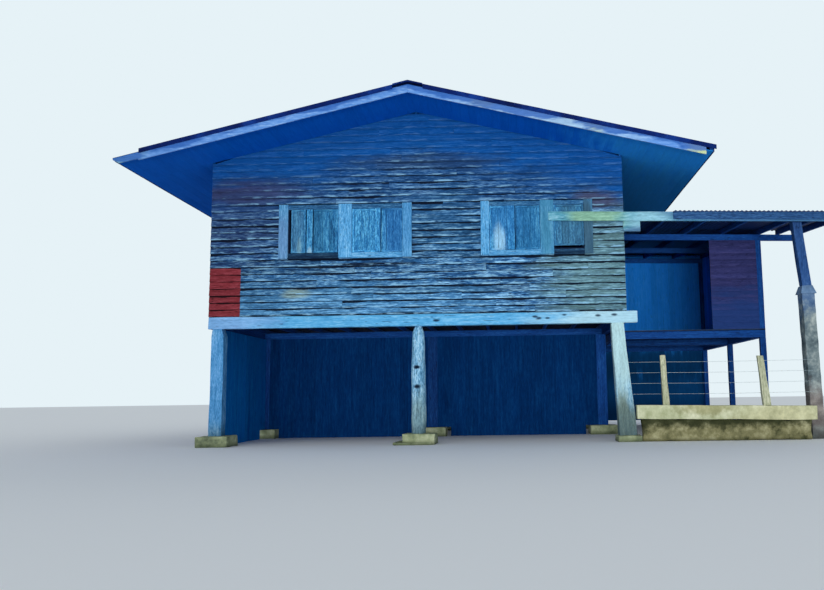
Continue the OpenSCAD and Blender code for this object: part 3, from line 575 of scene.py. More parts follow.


# %% [markdown]
# The boards' colour follows their shelter: the low boards are bleached by rain and sun, the ones close
# under the roof are painted deep blue as painted shade from the eaves, the left side is purplish, and the
# right edge has a film of algae. At the lower left a patch of newer boards is red-brown. Thin near-black
# lines along the wall's foot and under the left windows' ledge are painted shadows.

# %% Weatherboards
board_wood = old_wood(
    "bleached_weatherboards", "#051f46", "#285e90", "#90c4e4", lap_lines=0.97, damp="#020c20", spread=0.4,
    contrast=1.35, crack_share=0.35, streak=(420, 26), zones=[
        # The first zone is painted shade: the boards close under the roof go deep blue.
        (under_roof(0.60, 1.35), "#0256a2", 0.93),
        through_spot(-1.4, 2.2, 3.6, 0.75, "#5c9ecc", 0.4),
        through_spot(3.5, 3.0, 1.5, 1.3, "#678b88", 0.65),
        through_spot(-3.4, 3.9, 1.5, 0.9, "#263460", 0.65),
        through_spot(-2.9, 4.45, 1.2, 0.24, "#4a4058", 0.75),
        through_spot(0.1, 4.95, 1.6, 0.2, "#304460", 0.6),
        through_spot(0, 4.45, 4.5, 0.6, "#1a4478", 0.55),
        through_spot(3.2, 4.2, 0.5, 0.2, "#4c4a62", 0.75),
        through_spot(-2.13, 2.62, 0.3, 0.11, "#94a68c", 0.55),
        # A painted shadow: a near-black line along the wall's foot, where the boards overhang the sill.
        through_spot(0, wall_foot, THROUGH, 0.036, "#020a1c", 0.97),
        through_spot(0.5, 3.8, 1.0, 0.8, "#24587e", 0.4),
        # A painted shadow: a near-black line under the ledge of the left pair of windows.
        through_spot(-0.75, 3.135, 0.8, 0.024, "#030e26", 0.95)])
# Its lap lines are painted shade under each board's foot.
repair_wood = old_wood("red_brown_repair_boards", "#54101a", "#7c2c34", "#98444e", lap_lines=0.97,
                       damp="#18060c", contrast=0.8, spread=0.15)
gable_boards_top, side_boards_top = gable_peak - 0.03, side_top - 0.02
rng = random.Random(11)


def clad(name, place, reach, gable, holes, *nodes, beside=()):
    """Boards and studs of one wall; beside holds a stretch that other boards cover."""
    boards = Stock()
    first, last = reach
    if gable:
        lapped_wall(boards, place, first, last, gable_boards_top, gable_reach, [*holes, *beside], rng)
        studs(boards, place, first + 0.001, last, lambda x: gable_peak - abs(x) * tan_pitch, holes, rng)
    else:
        ends = first - wall_t + 0.03, last + wall_t - 0.03
        lapped_wall(boards, place, first, last, side_boards_top, lambda z: ends, holes, rng)
        studs(boards, place, first, last, lambda x: side_top, holes, rng)
    boards.piece(name, board_wood, "weathered_boards", *nodes)


def front_place(u, inward, z):
    return Vector((u, inward, z))


def rear_place(u, inward, z):
    return Vector((-u, depth - inward, z))


def left_place(u, inward, z):
    return Vector((-half_w + inward, -u, z))


def right_place(u, inward, z):
    return Vector((half_w - inward, u, z))


patch_right = -3.10
patch_top = board_foot + 7 * exposure
clad("front_weatherboards", front_place, (-half_w, half_w), True, holes_of(front_openings), "front_wall",
     beside=[(-half_w - 1, patch_right, 0, patch_top)])

patch = Stock()
lapped_wall(patch, front_place, -half_w, patch_right, gable_boards_top,
            lambda z: (-half_w, patch_right), [], rng, lengths=(2, 3), limit=patch_top - 0.06)
patch.piece("front_repair_boards", repair_wood, "weathered_boards")

clad("rear_weatherboards", rear_place, (-half_w, half_w), True, holes_of(rear_openings), "rear_wall")
clad("left_weatherboards", left_place, (-depth + wall_t, -wall_t), False, holes_of(left_openings),
     "left_wall")
clad("right_weatherboards", right_place, (wall_t, depth - wall_t), False,
     [(door_y, door_y + door_w, 0, door_top)], "right_wall", "right_wall_over_door")

# %% [markdown]
# ## Casings and shutters
# Planed boards frame the windows, once painted a pale blue that the sun has bleached. The head boards
# have gone as dark as the wall. Each shutter leaf is a frame of two thin stiles and two rails round
# upright boards. The first leaf is worn and hangs away from its jamb, and the last one is broken short at
# its foot.

# %% Casings
trim_wood = old_wood(
    "bleached_blue_trim", "#2c6a9a", "#4c92c2", "#84bada", streak=(240, 26), contrast=1.1,
    damp="#143456", zones=[
        through_spot(2.98, 3.7, 0.16, 0.9, "#38586c", 0.9),
        through_spot(-0.16, 3.7, 0.15, 0.9, "#3c7eb4", 0.6),
        through_spot(2.3, 3.7, 0.16, 0.9, "#3a7c9c", 0.85),
        through_spot(-2.35, 3.5, 0.2, 0.7, "#6488b4", 0.7)])
dull_wood = old_wood("dull_head_boards", "#0c2c50", "#285a84", "#5c90b2", streak=(240, 24), spread=0.35,
                     damp="#04142c")
proud, thin, lining = 0.04, 0.026, 0.028


def bar(stock, place, across, heights, depths, upright, rng, step=0.12, bevel=0.003, **how):
    """A board of a frame, in its wall's terms, given by its ends in each direction."""
    (x0, x1), (z0, z1), (y0, y1) = across, heights, depths
    if upright:
        ends = [[place(x, y, z) for x, y in ((x0, y0), (x0, y1), (x1, y1), (x1, y0))] for z in heights]
    else:
        ends = [[place(x, y, z) for y, z in ((y0, z0), (y1, z0), (y1, z1), (y0, z1))] for x in across]
    stock.plank(*ends, rng, step=step, bevel=bevel, **how)


def casing_run(stock, place, run, edge, rng, tones, sills):
    """Casings of windows in a row; tones are the upright boards', sills the sills', dull under 0.5."""
    first, last = run[0][0], run[-1][1]
    low, high = win_foot - casing_h, win_top + casing_h
    posts = [(first - edge, first)] + [(a[1], b[0]) for a, b in zip(run, run[1:])] + [(last, last + edge)]
    for across, tone in zip(posts, tones):
        bar(stock, place, across, (low - ear, high + ear), (-proud, 0.0), True, rng, wear=0.8, tone=tone)
    for (a, b), tone in zip(run, sills):
        bar(dull_trim, place, (a, b), (win_top, high), (-thin, 0.0), False, rng, tone=0.75)
        # Under leaves that hang short, the sills take the dull boards and the dark wash: painted shade in
        # the recess.
        owner, shaded = (dull_trim, (0.9, 0.3)) if tone < 0.5 else (stock, (0, 0))
        for heights, out in (((low, win_foot), thin), ((low - sill_h, low), proud + sill_h)):
            bar(owner, place, (a, b), heights, (-out, 0.0), False, rng, wear=1.0, tone=tone, damp=shaded)
        # The linings inside each opening are washed fully dark: painted shade in the window recess.
        shaded_lining = dict(bevel=0.002, tone=0.2, damp=(1, 1))
        for across in ((a, a + lining), (b - lining, b)):
            bar(dull_trim, place, across, (win_foot, win_top), (0.0, wall_t), True, rng, **shaded_lining)
        for heights in ((win_foot, win_foot + lining), (win_top - lining, win_top)):
            bar(dull_trim, place, (a + lining, b - lining), heights, (0.0, wall_t), False, rng, **shaded_lining)


rng = random.Random(23)
trim, dull_trim = Stock(), Stock()
casing_run(trim, front_place, front_openings[:2], 0.165, rng, (0.5, 0.85, 0.6), (0.1, 0.75))
casing_run(trim, front_place, front_openings[2:], 0.15, rng, (0.75, 0.6, 0.3), (0.6, 0.3))
trim.piece("front_window_trim", trim_wood, "painted_trim", "front_window_casings")
other_windows = [(rear_place, opening) for opening in rear_openings]
other_windows += [(left_place, opening) for opening in left_openings]
for place, opening in other_windows:
    casing_run(dull_trim, place, [opening], 0.12, rng, (0.7, 0.6), (0.6,))
dull_trim.piece("dull_window_boards", dull_wood, "painted_trim", "other_window_casings")

# %% Shutters
first_leaf_x = front_openings[0][0]
shutter_wood = old_wood(
    "faded_shutter_boards", "#124478", "#3080b6", "#6cbce2", streak=(200, 26), contrast=1.3, spread=0.35,
    damp="#061c3a", zones=[
        through_spot(1.6, 3.9, 0.4, 0.5, "#2468a4", 0.6),
        through_spot(1.47, 3.5, 0.13, 0.32, "#a0d0ea", 0.7),
        through_spot(2.0, 3.7, 0.25, 0.9, "#1e6090", 0.6),
        through_spot(-0.4, 3.7, 0.25, 0.9, "#1e5a9a", 0.6),
        through_spot(-1.7, 3.7, 0.25, 0.9, "#1e5a80", 0.5),
        through_spot(-2.1, 3.6, 0.15, 0.9, "#4a7a9c", 0.5),
        through_spot(2.75, 3.7, 0.35, 0.9, "#38627c", 0.7),
        through_spot(first_leaf_x + 0.39, 3.35, 0.05, 0.12, "#9cc8dc", 0.7),
        through_spot(first_leaf_x + 0.20, 3.45, 0.05, 0.2, "#7ca8b8", 0.6)])
gap, frame_w, shadow_strip_w = 0.004, 0.034, 0.014
leaf_face, leaf_back = -0.028, -0.002
half_leaf = wide / 2 - gap * 1.5


def leaf(stock, place, x0, x1, rng, under=gap, strip=0.0, tone=0.5):
    """under is the gap at the leaf's foot, strip the width of the board that covers its first edge."""
    z0, z1 = win_foot + under, win_top - gap
    in_x, in_z = (x0 + frame_w, x1 - frame_w), (z0 + frame_w, z1 - frame_w)
    rail_depths, stile_depths = (leaf_face + 0.002, leaf_back), (leaf_face, leaf_back)
    bar(stock, place, (x0, in_x[0]), (z0, z1), stile_depths, True, rng, wear=1.0, tone=tone + 0.15)
    bar(stock, place, (in_x[1], x1), (z0, z1), stile_depths, True, rng, wear=1.0, tone=tone + 0.1)
    bar(stock, place, in_x, (z0, in_z[0]), rail_depths, False, rng, wear=1.0, tone=tone + 0.35)
    bar(stock, place, in_x, (in_z[1], z1), rail_depths, False, rng, wear=1.0, tone=tone)
    count = max(1, round((in_x[1] - in_x[0]) / 0.12))
    board_w = (in_x[1] - in_x[0]) / count
    for k in range(count):
        a = in_x[0] + board_w * k
        bar(stock, place, (a + 0.001, a + board_w - 0.001), in_z, (leaf_face + 0.013, leaf_back), True, rng,
            wear=1.0, tone=tone + rng.uniform(-0.3, 0.2))
    if strip:
        edge = x0 + strip
        bar(stock, place, (x0, edge), (z0, z1), (leaf_face - 0.014, leaf_face), True, rng, step=0.15,
            bevel=0.002, wear=1.0, tone=tone + 0.3)
        # Beside the cover strip a thin board is washed fully dark: the painted shadow of the strip.
        bar(stock, place, (edge, edge + shadow_strip_w), (z0, z1), (leaf_face - 0.004, leaf_face), True, rng,
            step=0.15, bevel=0.001, damp=(1, 1))


rng = random.Random(31)
worn_gap, short_gap, cover = 0.010, 0.060, 0.13
worn_leaf_start, worn_leaf_end, next_leaf_start = 0.053, 0.312, 0.332
left_leaves = Stock()
a, b = front_openings[0]
leaf(left_leaves, front_place, a + worn_leaf_start, a + worn_leaf_end, rng, under=worn_gap, tone=0.3)
leaf(left_leaves, front_place, a + next_leaf_start, b - gap, rng, under=worn_gap, strip=0.106, tone=0.3)
a, b = front_openings[1]
leaf(left_leaves, front_place, a + gap, a + gap + half_leaf, rng, tone=0.7)
leaf(left_leaves, front_place, b - gap - half_leaf, b - gap, rng, strip=0.06, tone=0.35)
left_leaves.piece("front_left_leaves", shutter_wood, "shutter_boards", "front_left_shutters")

right_leaves = Stock()
a, b = front_openings[2]
leaf(right_leaves, front_place, a + gap, a + half_leaf - cover, rng, tone=0.6)
leaf(right_leaves, front_place, a + gap + half_leaf - cover, b - gap, rng, strip=cover, tone=0.35)
a, b = front_openings[3]
leaf(right_leaves, front_place, a + gap, b - gap, rng, under=short_gap, tone=0.35)
right_leaves.piece("front_right_leaves", shutter_wood, "shutter_boards", "front_right_shutters")

other_leaves = Stock()
for place, (a, b) in other_windows:
    leaf(other_leaves, place, a + gap, a + gap + half_leaf, rng)
    leaf(other_leaves, place, b - gap - half_leaf, b - gap, rng, strip=0.06)
other_leaves.piece("other_leaves", shutter_wood, "shutter_boards", "other_shutters")

# %% [markdown]
# ## Sill beams and front posts
# The sill beam and the front posts are thick hardwood, sawn or hewn with an adze and bleached to a pale
# blue-grey. The sill beam has a row of knots and old holes. The posts stand on pads in splashed rain, so
# their feet are darker and damp, and deep cracks run up them. The middle post has two old mortises, and
# the shade inside them is painted on as dark spots.

# %% Sill beams and posts
knots = ((0.35, 2.12), (2.06, 2.16), (2.13, 2.13), (2.28, 2.13), (2.57, 2.18), (3.15, 2.16), (3.43, 2.17))
bleached_wood = old_wood(
    "bleached_hardwood", "#3c8cc0", "#5cacdc", "#94cfee", streak=(500, 40), contrast=0.9, spread=0.15,
    cracks=0.7, damp="#0e3a66", zones=[
        through_spot(3.7, 2.1, 1.8, 0.4, "#b0d6e2", 0.85),
        through_spot(-3.4, 2.1, 0.9, 0.4, "#8aaee0", 0.6),
        *[through_spot(x, z, 0.06, 0.026, "#0c2440", 0.9) for x, z in knots]])
rng = random.Random(41)
dressed_piece("bleached_sill_beams", bleached_wood, "bleached_timber", rng, {
    "end_sill_beams": dict(bevel=0.006, step=0.15, cross_step=0.07, rough=0.006, wave=(2.5, 9), tone=0.5)})

post_foot, post_top = [corner.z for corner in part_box("front_middle_post")]
# Heights of the dark spots painted inside the two mortises as painted shade.
mortise_shade_z = [post_foot + (post_top - post_foot) * share + 0.024 for share in (0.42, 0.60)]
post_wood = old_wood(
    "hewn_post_wood", "#2c6488", "#74accf", "#bce2f2", streak=(260, 34), contrast=1.2, spread=0.2,
    cracks=0.85, damp="#142c44", zones=[
        through_spot(-3.55, 1.2, 0.5, 1.6, "#3c8ccc", 0.7),
        through_spot(3.5, 1.7, 0.6, 1.2, "#b4d6d8", 0.9),
        through_spot(3.6, 0.3, 0.6, 0.6, "#6e7e6e", 0.85),
        through_spot(3.80, 0.5, 0.07, 0.6, "#1c2e26", 0.9),
        through_spot(0.0, 0.3, 0.5, 0.6, "#8aa49c", 0.6),
        *[through_spot(0.0, z, 0.062, 0.042, "#0a1c38", 0.97) for z in mortise_shade_z]])
sawn_post = dict(step=0.07, cross_step=0.06, wave=(2, 8), segments=2)
dressed_piece("front_posts", post_wood, "bleached_timber", rng, {
    "front_left_post": dict(sawn_post, bevel=0.012, rough=0.008, tone=0.4, damp=0.5, damp_z=0.25),
    "front_middle_post": dict(bevel=0.008, step=0.06, cross_step=0.06, rough=0.012, wave=(3, 9), tone=0.6,
                              damp=0.5, damp_z=0.3),
    "front_right_post": dict(sawn_post, bevel=0.014, rough=0.01, tone=0.55, damp=0.4, damp_z=0.7)})

# %% [markdown]
# ## Hidden timbers
# The timbers under the floor and under the roof never see the rain, so they keep their sharp edges. Their
# blue-black colour is painted shade, the deep shade under the floor and the roof.

# %% Hidden timbers
# Their deep blue is painted shade.
dark_wood = old_wood("shade_blue_timber", "#06285c", "#0f4288", "#2462ac", contrast=0.8, spread=0.2)
rng = random.Random(47)
for node in ("squared_posts", "side_sill_beams", "cross_beams", "floor_joists", "wall_plates", "tie_beams",
             "king_posts", "ridge_beam", "rafters", "purlins", "eave_lookouts", "lean_to_rafters",
             "lean_to_tie_beams", "veranda_posts", "veranda_beams", "veranda_edge_beams"):
    dressed_piece("old_" + node, dark_wood, "old_timber", rng, {node: dict(rough=0.004)})

# %% [markdown]
# ## Soffits
# Thin planed boards close the underside of the overhangs and run along the house. Their even deep blue is
# painted shade, and beside the lean-to they are painted paler, as painted light. A board along each eave
# covers their edge, and its near-black blue is painted shade too.

# %% Soffits and eave boards
# The even deep blue of the soffits is painted shade.
soffit_wood = old_wood(
    "even_blue_soffit", "#0450b0", "#065cc0", "#1068cc", streak=(900, 60), contrast=0.5, spread=0.04,
    cracks=0.0, roughness=0.8, shine=0.02, zones=[
        # Both zones are painted light: a paler blue on the soffits beside the lean-to.
        through_spot(4.6, 4.7, 2.2, 1.2, "#2488dc", 0.9),
        (spot((4.3, 3.0, 4.6), (1.6, 3.6, 1.4)), "#2c90d8", 0.9)])
# The near-black blue of the eave boards is painted shade along the eaves.
eave_wood = old_wood("dark_eave_boards", "#06184a", "#0c2c66", "#1c4a88", spread=0.15, contrast=0.8,
                     shine=0.05)
gable_low, gable_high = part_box("gable_soffits")
soffit_top, soffit_t, eave_board_t = (ridge_z - gable_high.z) * cos_pitch, 0.010, 0.022
soffit_under = soffit_top + soffit_t
strip_w = 0.14
print("soffit lies %.0f mm under the roof's top face" % (1000 * soffit_top))


def slope_strip(stock, x0, x1, y0, y1, top, bottom, rng, **how):
    """A board along Y between two depths under the roof's top face, on the slope that x0 and x1 lie on."""
    corners = ((x0, bottom), (x0, top), (x1, top), (x1, bottom))
    ends = [[Vector((x, y, ridge_z - abs(x) * tan_pitch - under / cos_pitch)) for x, under in corners]
            for y in (y0, y1)]
    stock.plank(*ends, rng, **how)


def board_strips(stock, side, inner, outer, y0, y1, rng):
    rows = max(1, round((outer - inner) / strip_w))
    for i in range(rows):
        x0, x1 = [inner + (outer - inner) * k / rows for k in (i, i + 1)]
        joints = [y0, y1]
        if y1 - y0 > 3:
            joints.insert(1, rng.uniform(y0 + 1, y1 - 1))
        for a, b in zip(joints, joints[1:]):
            slope_strip(stock, side * x0, side * (x1 - 0.001), a + 0.0008, b - 0.0008, soffit_top,
                        soffit_under, rng, bevel=0.0006, step=0.6, bow=0.0, wear=0.2)


rng = random.Random(49)
for name, node, inner, spans in (
        ("gable_soffit_boards", "gable_soffits", 0.0005, ((gable_low.y, 0.0), (depth, gable_high.y))),
        ("eave_soffit_boards", "eave_soffits", half_w, ((0.0, depth),))):
    boards = Stock()
    for y0, y1 in spans:
        for side, outer in ((-1, -gable_low.x), (1, gable_high.x)):
            board_strips(boards, side, inner, outer, y0, y1, rng)
    boards.piece(name, soffit_wood, "dark_boards", node)

boards = Stock()
low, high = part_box("eave_boards")
for side, outer in ((-1, -low.x), (1, high.x)):
    joints = [low.y, rng.uniform(2, 3), rng.uniform(5, 6), high.y]
    for a, b in zip(joints, joints[1:]):
        slope_strip(boards, side * (outer - eave_board_t), side * outer, a, b - 0.002, SHEET_DEPTH,
                    soffit_under, rng, step=0.4)
boards.piece("dark_eave_boards", eave_wood, "dark_boards", "eave_boards")

# %% [markdown]
# ## Floors and dark boarding
# Floor boards run across the joists, 140 mm wide and 25 mm thick. The boarding under the house and round
# the veranda stands upright, edge to edge, and under the house it is cut round the pads. Only the
# veranda's front is closed with level boards.

# %% Floors
floor_wood = old_wood("worn_floor_boards", "#20304c", "#3c4e6a", "#5e7086", contrast=0.8, spread=0.25,
                      cracks=0.4, damp="#03183c", shine=0.02)
rng = random.Random(53)
for node in ("floor_boards", "veranda_floor"):
    boards = Stock()
    low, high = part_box(node)
    rows, butt_count = round((high.y - low.y) / strip_w), 1 if high.x - low.x < 4 else 2
    for i in range(rows):
        y0, y1 = [low.y + (high.y - low.y) * k / rows for k in (i, i + 1)]
        butts = sorted(rng.uniform(low.x + 0.8, high.x - 0.8) for _ in range(butt_count))
        joints = [low.x, *butts, high.x]
        for x0, x1 in zip(joints, joints[1:]):
            if x1 - x0 > 0.01:
                # The dark wash (1, 0) darkens each board's underside: painted shade under the floor.
                boards.box(Vector((x0, y0, low.z)), Vector((x1 - 0.002, y1 - 0.003, high.z)), rng, step=0.6,
                           bow=0.001, damp=(1, 0))
    boards.piece("laid_" + node, floor_wood, "floor_boards", node)

# %% Upright boarding
boarding = dict(spread=0.15, cracks=0.3, streak=(500, 40), shine=0.02)
screen_wood = old_wood("shaded_blue_boarding", "#021e4c", "#043268", "#0e4884", contrast=0.7, **boarding)
pads = [box_of(part) for part in loose_solids("post_pads")]


def upright_row(stock, low, high, run, start, end, rng):
    """Boards from start to end along the axis run, in the wall from low to high, cut round the pads."""
    way = 1 if end > start else -1
    at = start
    while way * (end - at) > 0.01:
        board_w = min(rng.uniform(0.13, 0.17), way * (end - at))
        corner, opposite = low.copy(), high.copy()
        corner[run], opposite[run] = sorted((at, at + way * board_w))
        under = [pad_high.z for pad_low, pad_high in pads
                 if all(pad_low[i] < opposite[i] and pad_high[i] > corner[i] for i in (0, 1))]
        corner.z = max([0.0] + under) + 0.002
        corner[1 - run] += rng.uniform(0, 0.006)
        stock.box(corner, opposite, rng, axis=2, step=0.4, bow=0.0, bevel=0.001, tone=rng.uniform(0.2, 0.8))
        at += way * board_w


rng = random.Random(59)
screen = Stock()
screen_low, screen_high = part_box("underfloor_screen")
for side, outer in ((-1, screen_low.x), (1, screen_high.x)):
    upright_row(screen, screen_low, screen_high, 0, side * 0.1, outer, rng)
screen.piece("underfloor_boarding", screen_wood, "dark_boards", "underfloor_screen")

# %% [markdown]
# The left end of the space under the house is closed as well, from the front corner post back to the
# second row: no light comes through there. Its boards have no solid of their own.

# %% Left end boarding
post_low, post_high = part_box("front_left_post")
side_x, side_t = (post_low.x + post_high.x) / 2, 0.03
# The boarding is painted a bright blue, as painted light inside the shade under the house; a zone keeps its
# outer face a dark blue.
side_wood = old_wood(
    "shaded_side_boarding", "#0456b0", "#0a72c4", "#1c8ed8", contrast=0.7, **boarding, zones=[
        (spot((side_x - side_t / 2, 0, 0), (0.012, THROUGH, THROUGH)), "#0c3468", 0.95)])
side_low = Vector((side_x - side_t / 2, post_high.y, 0))
side_high = Vector((side_x + side_t / 2, screen_low.y, screen_high.z))
end_gap = 0.001
end_boards = Stock()
upright_row(end_boards, side_low, side_high, 1, side_low.y + end_gap, side_high.y - end_gap,
            random.Random(60))
end_boards.piece("left_end_boarding", side_wood, "dark_boards")

# %% Veranda boarding
# Its faint lap lines are painted shade under each board.
red_wood = old_wood(
    "red_brown_veranda_boards", "#22284e", "#383c70", "#4c4c84", contrast=0.7, spread=0.15, lap_lines=0.2,
    damp="#14122e", shine=0.05, zones=[through_spot(6.0, 2.15, 9, 0.7, "#22407c", 0.85)])
outer_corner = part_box("veranda_walls")[1]
# The veranda boards are painted a bright blue, as painted light inside the shaded veranda. Below its floor
# the zones paint them darker as painted shade, and the outer faces keep a darker blue.
veranda_wood = old_wood(
    "shaded_veranda_boards", "#1470d8", "#208cf4", "#40a0fc", contrast=0.5, **boarding, zones=[
        through_spot(5, 0.7, 9, 1.3, "#0a3c68", 0.92),
        through_spot(5, 1.6, 9, 0.5, "#0a3c68", 0.92),
        (spot((0, outer_corner.y, 0), (THROUGH, 0.012, THROUGH)), "#1c4678", 0.95),
        (spot((outer_corner.x, 0, 0), (0.012, THROUGH, THROUGH)), "#1c4678", 0.95)])
upright_w, level_w = 0.15, 0.13


def wall_rows(stock, part, upright, rng):
    """Boards edge to edge over a flat wall whose top may slope."""
    low, high = box_of(part)
    run = 0 if high.x - low.x > high.y - low.y else 1
    tops = sorted((v.co[run], v.co.z) for v in part.verts if v.co.z > (low.z + high.z) / 2)
    slope = (tops[-1][1] - tops[0][1]) / (tops[-1][0] - tops[0][0])

    def top_at(u):
        return tops[0][1] + (u - tops[0][0]) * slope

    def corner(u, side, z):
        point = side.copy()
        point[run], point.z = u, z
        return point

    start, end = low[run], high[run]
    level_top = min(top_at(start), top_at(end))
    extent = end - start if upright else level_top - low.z
    count = round(extent / (upright_w if upright else level_w))
    for i in range(count):
        a, b = [(start if upright else low.z) + extent * k / count for k in (i, i + 1)]
        if upright:
            square = ((a, low), (a, high), (b, high), (b, low))
            ends = [[corner(u, side, z(u)) for u, side in square] for z in (lambda u: low.z, top_at)]
            stock.plank(*ends, rng, bevel=0.001, step=0.4, bow=0.0)
        else:
            ends = []
            for u in (start, end):
                top = top_at(u) if i == count - 1 else b
                square = ((low, a), (high, a), (high, top), (low, top))
                ends.append([corner(u, side, z) for side, z in square])
            stock.plank(*ends, rng, step=0.2, bow=0.001)


veranda, lapped_screen = Stock(), Stock()
for part in loose_solids("veranda_walls"):
    low, high = box_of(part)
    in_front = high.x - low.x > 0.5 and low.y < 3
    wall_rows(lapped_screen if in_front else veranda, part, not in_front, rng)
    part.free()
veranda.piece("veranda_boarding", veranda_wood, "dark_boards", "veranda_walls")
lapped_screen.piece("veranda_screen", red_wood, "dark_boards")

# %% [markdown]
# ## Door frame
# The doorway to the veranda is a plain frame of planed boards: two jambs and a head.

# %% Door frame
dressed_piece("planed_door_frame", trim_wood, "painted_trim", random.Random(61),
              {"door_frame": dict(bevel=0.003, rough=0.002, tone=0.3)})

# %% [markdown]
# ## The roof sheets
# The roof is laid with fibre-cement sheets that have high rolls 210 mm apart and flat pans between them.
# Each sheet is about 1.2 m long and four rolls wide, 6 mm thick, and the upper one lies over the lower
# one, so the slope shows steps across and thin shadow lines down the side laps. Fibre cement goes dark
# with algae. The lean-to has thin corrugated steel instead, with waves 76 mm apart.

# %% Rolled and corrugated sheets
def slab_surface(solid, flow):
    """Gives a point of the slab: a share down the flow, a share across and a height over its underside."""
    columns = {}
    for v in solid.verts:
        columns.setdefault((round(v.co.x, 3), round(v.co.y, 3)), []).append(v.co.z)
    xs = sorted({k[0] for k in columns})
    ys = sorted({k[1] for k in columns})
    corner = {(i, j): min(columns[(xs[-i], ys[-j])]) for i in (0, 1) for j in (0, 1)}

    def point(down, across, height):
        s, t = (down, across) if flow == 0 else (across, down)
        near = corner[(0, 0)] * (1 - s) + corner[(1, 0)] * s
        far = corner[(0, 1)] * (1 - s) + corner[(1, 1)] * s
        return Vector((xs[0] + (xs[-1] - xs[0]) * s, ys[0] + (ys[-1] - ys[0]) * t,
                       near * (1 - t) + far * t + height))

    return point, xs[-1] - xs[0], ys[-1] - ys[0]


def lay_sheets(stock, point, length, width, pitch, rolls, rows, thick, profile, rng, reverse, over=0.0):
    """Rows of sheets from the top down; the first one starts a length over above the slab."""
    total, samples, lap = round(width / pitch), 8, 0.15
    for row in range(rows):
        top, bottom = row / rows, (row + 1) / rows
        top -= (lap if row else over) / length
        covered = row < rows - 1
        for first in range(0, total, rolls):
            last = min(first + rolls, total)
            rings, grains, tones = [], [], []
            tone = rng.uniform(0.25, 0.75)
            slip = rng.uniform(-0.006, 0.006) / length
            shift = Vector((rng.uniform(0, 90), rng.uniform(0, 90), 0))
            count = (last - first) * samples + (2 if last < total else 0)
            for share in (0.0, 0.5, 1.0):
                down = top + (bottom - top) * share + (slip * share if covered else 0.0)
                lift = thick * share if covered else 0.0
                place = 1 - down if reverse else down
                ring, grain = [], []
                for rise, ks in ((thick, range(count + 1)), (0.0, range(count, -1, -1))):
                    for k in ks:
                        across = (first + k / samples) / total
                        wave = profile(k / samples + first)
                        ring.append(point(place, min(across, 1.0), wave + rise + lift))
                        grain.append(Vector((down * length, across * width, wave + rise - thick)) + shift)
                rings.append(ring)
                grains.append(grain)
                tones.append([Vector((tone, share, under)) for under in (0, 1) for _ in range(count + 1)])
            stock.loft(rings, grains, tones)


roll_h, roll_share, wave_h = 0.033, 0.62, 0.017


def high_roll(x):
    part = abs((x % 1.0) * 2 - 1) / roll_share
    return roll_h * max(0.0, math.cos(part * math.pi / 2)) if part < 1 else 0.0


def small_wave(x):
    return wave_h / 2 * (1 - math.cos(x * 2 * math.pi))


def wave_filler(stock, point, down, along, width, pitch, profile, thick=0.02):
    """Closes the waves from below, as a foam strip does; thick is measured down the slab."""
    count = round(width / pitch) * 8
    rings = []
    for place in (down, down + thick / along):
        upper = [point(place, k / count, profile(k / 8) + 0.001) for k in range(count + 1)]
        rings.append(upper + [point(place, k / count, -0.001) for k in range(count, -1, -1)])
    stock.loft(rings, rings, [[Vector((0.5, 0.5, 1.0))] * len(rings[0])] * 2)


# %% [markdown]
# A sheet's skin is clouded, with darker runs down the slope, pale specks, a tone of its own and painted
# shade on its underside.

# %% Sheet skins
def sheet_material(name, dark, mid, pale, stain_colour, underside_shade, scale, roughness, metal=0.0, rust=None):
    material, tree, surface = new_material(name)
    grain, tone, share, underside = plank_marks(tree)
    clouds = clouds_of(grain, scale, 7.0, 0.65)
    specks = clouds_of(grain, scale * 9, 4.0, 0.7)
    runs = clouds_of(vector_calc("MULTIPLY", grain, (0.8, 14, 1)), 1.0, 4.0)
    colour = three_tones(clouds, dark, mid, pale, 0.3, 0.7)
    colour = blend(remap(runs, 0.5, 0.7, 0, 0.7), colour, linear(stain_colour))
    colour = blend(remap(specks, 0.6, 0.7, 0, 0.5), colour, linear(pale))
    colour = scaled(colour, remap(tone, 0, 1, 0.7, 1.3))
    if rust:
        colour = blend(remap(clouds, 0.56, 0.62, 0, 0.85), colour, linear(rust))
    # The underside of every sheet takes painted shade.
    colour = blend(underside, colour, linear(underside_shade))
    finish_surface(surface, colour, specks, 0.35, 0.003, roughness, 0.5 if metal else 0.1)
    if metal:
        tree.links.new(remap(underside, 0, 1, metal, 0), surface.inputs["Metallic"])
    return material


# %% Roof and lean-to sheets
fibre_cement = sheet_material("algae_dark_fibre_cement", "#0b2a5c", "#17407c", "#3a659c", "#0a1f45",
                              "#0a2a5c", 2.2, 0.85)
coated_steel = sheet_material("dull_coated_steel", "#2b4a6c", "#4a6a8c", "#7f9cb4", "#31435c", "#06265a",
                              1.6, 0.55, metal=0.55, rust="#6a4030")
roll_pitch, wave_pitch = 0.21, 0.076
cement_t, steel_t = 0.006, 0.0025
canopy_over, filler_back = 0.12, 0.055
rng = random.Random(67)
for node, on_left in (("left_roof_sheets", True), ("right_roof_sheets", False)):
    sheets = Stock()
    point, length, width = slab_surface(loose_solids(node)[0], 0)
    lay_sheets(sheets, point, length, width, roll_pitch, 4, 4, cement_t, high_roll, rng, reverse=on_left)
    sheets.piece("rolled_" + node, fibre_cement, "roof_sheet", node, smooth=60)
for node, over in (("lean_to_roof_sheets", 0.0), ("canopy_sheets", canopy_over)):
    sheets = Stock()
    for solid in loose_solids(node):
        point, width, length = slab_surface(solid, 1)
        lay_sheets(sheets, point, length, width, wave_pitch, 10, 2, steel_t, small_wave, rng, reverse=True,
                   over=over)
        filler_at = 0.0 if over else 1 - filler_back / length
        wave_filler(sheets, point, filler_at, length, width, wave_pitch, small_wave)
    sheets.piece("corrugated_" + node, coated_steel, "lean_to_sheet", node, smooth=60)

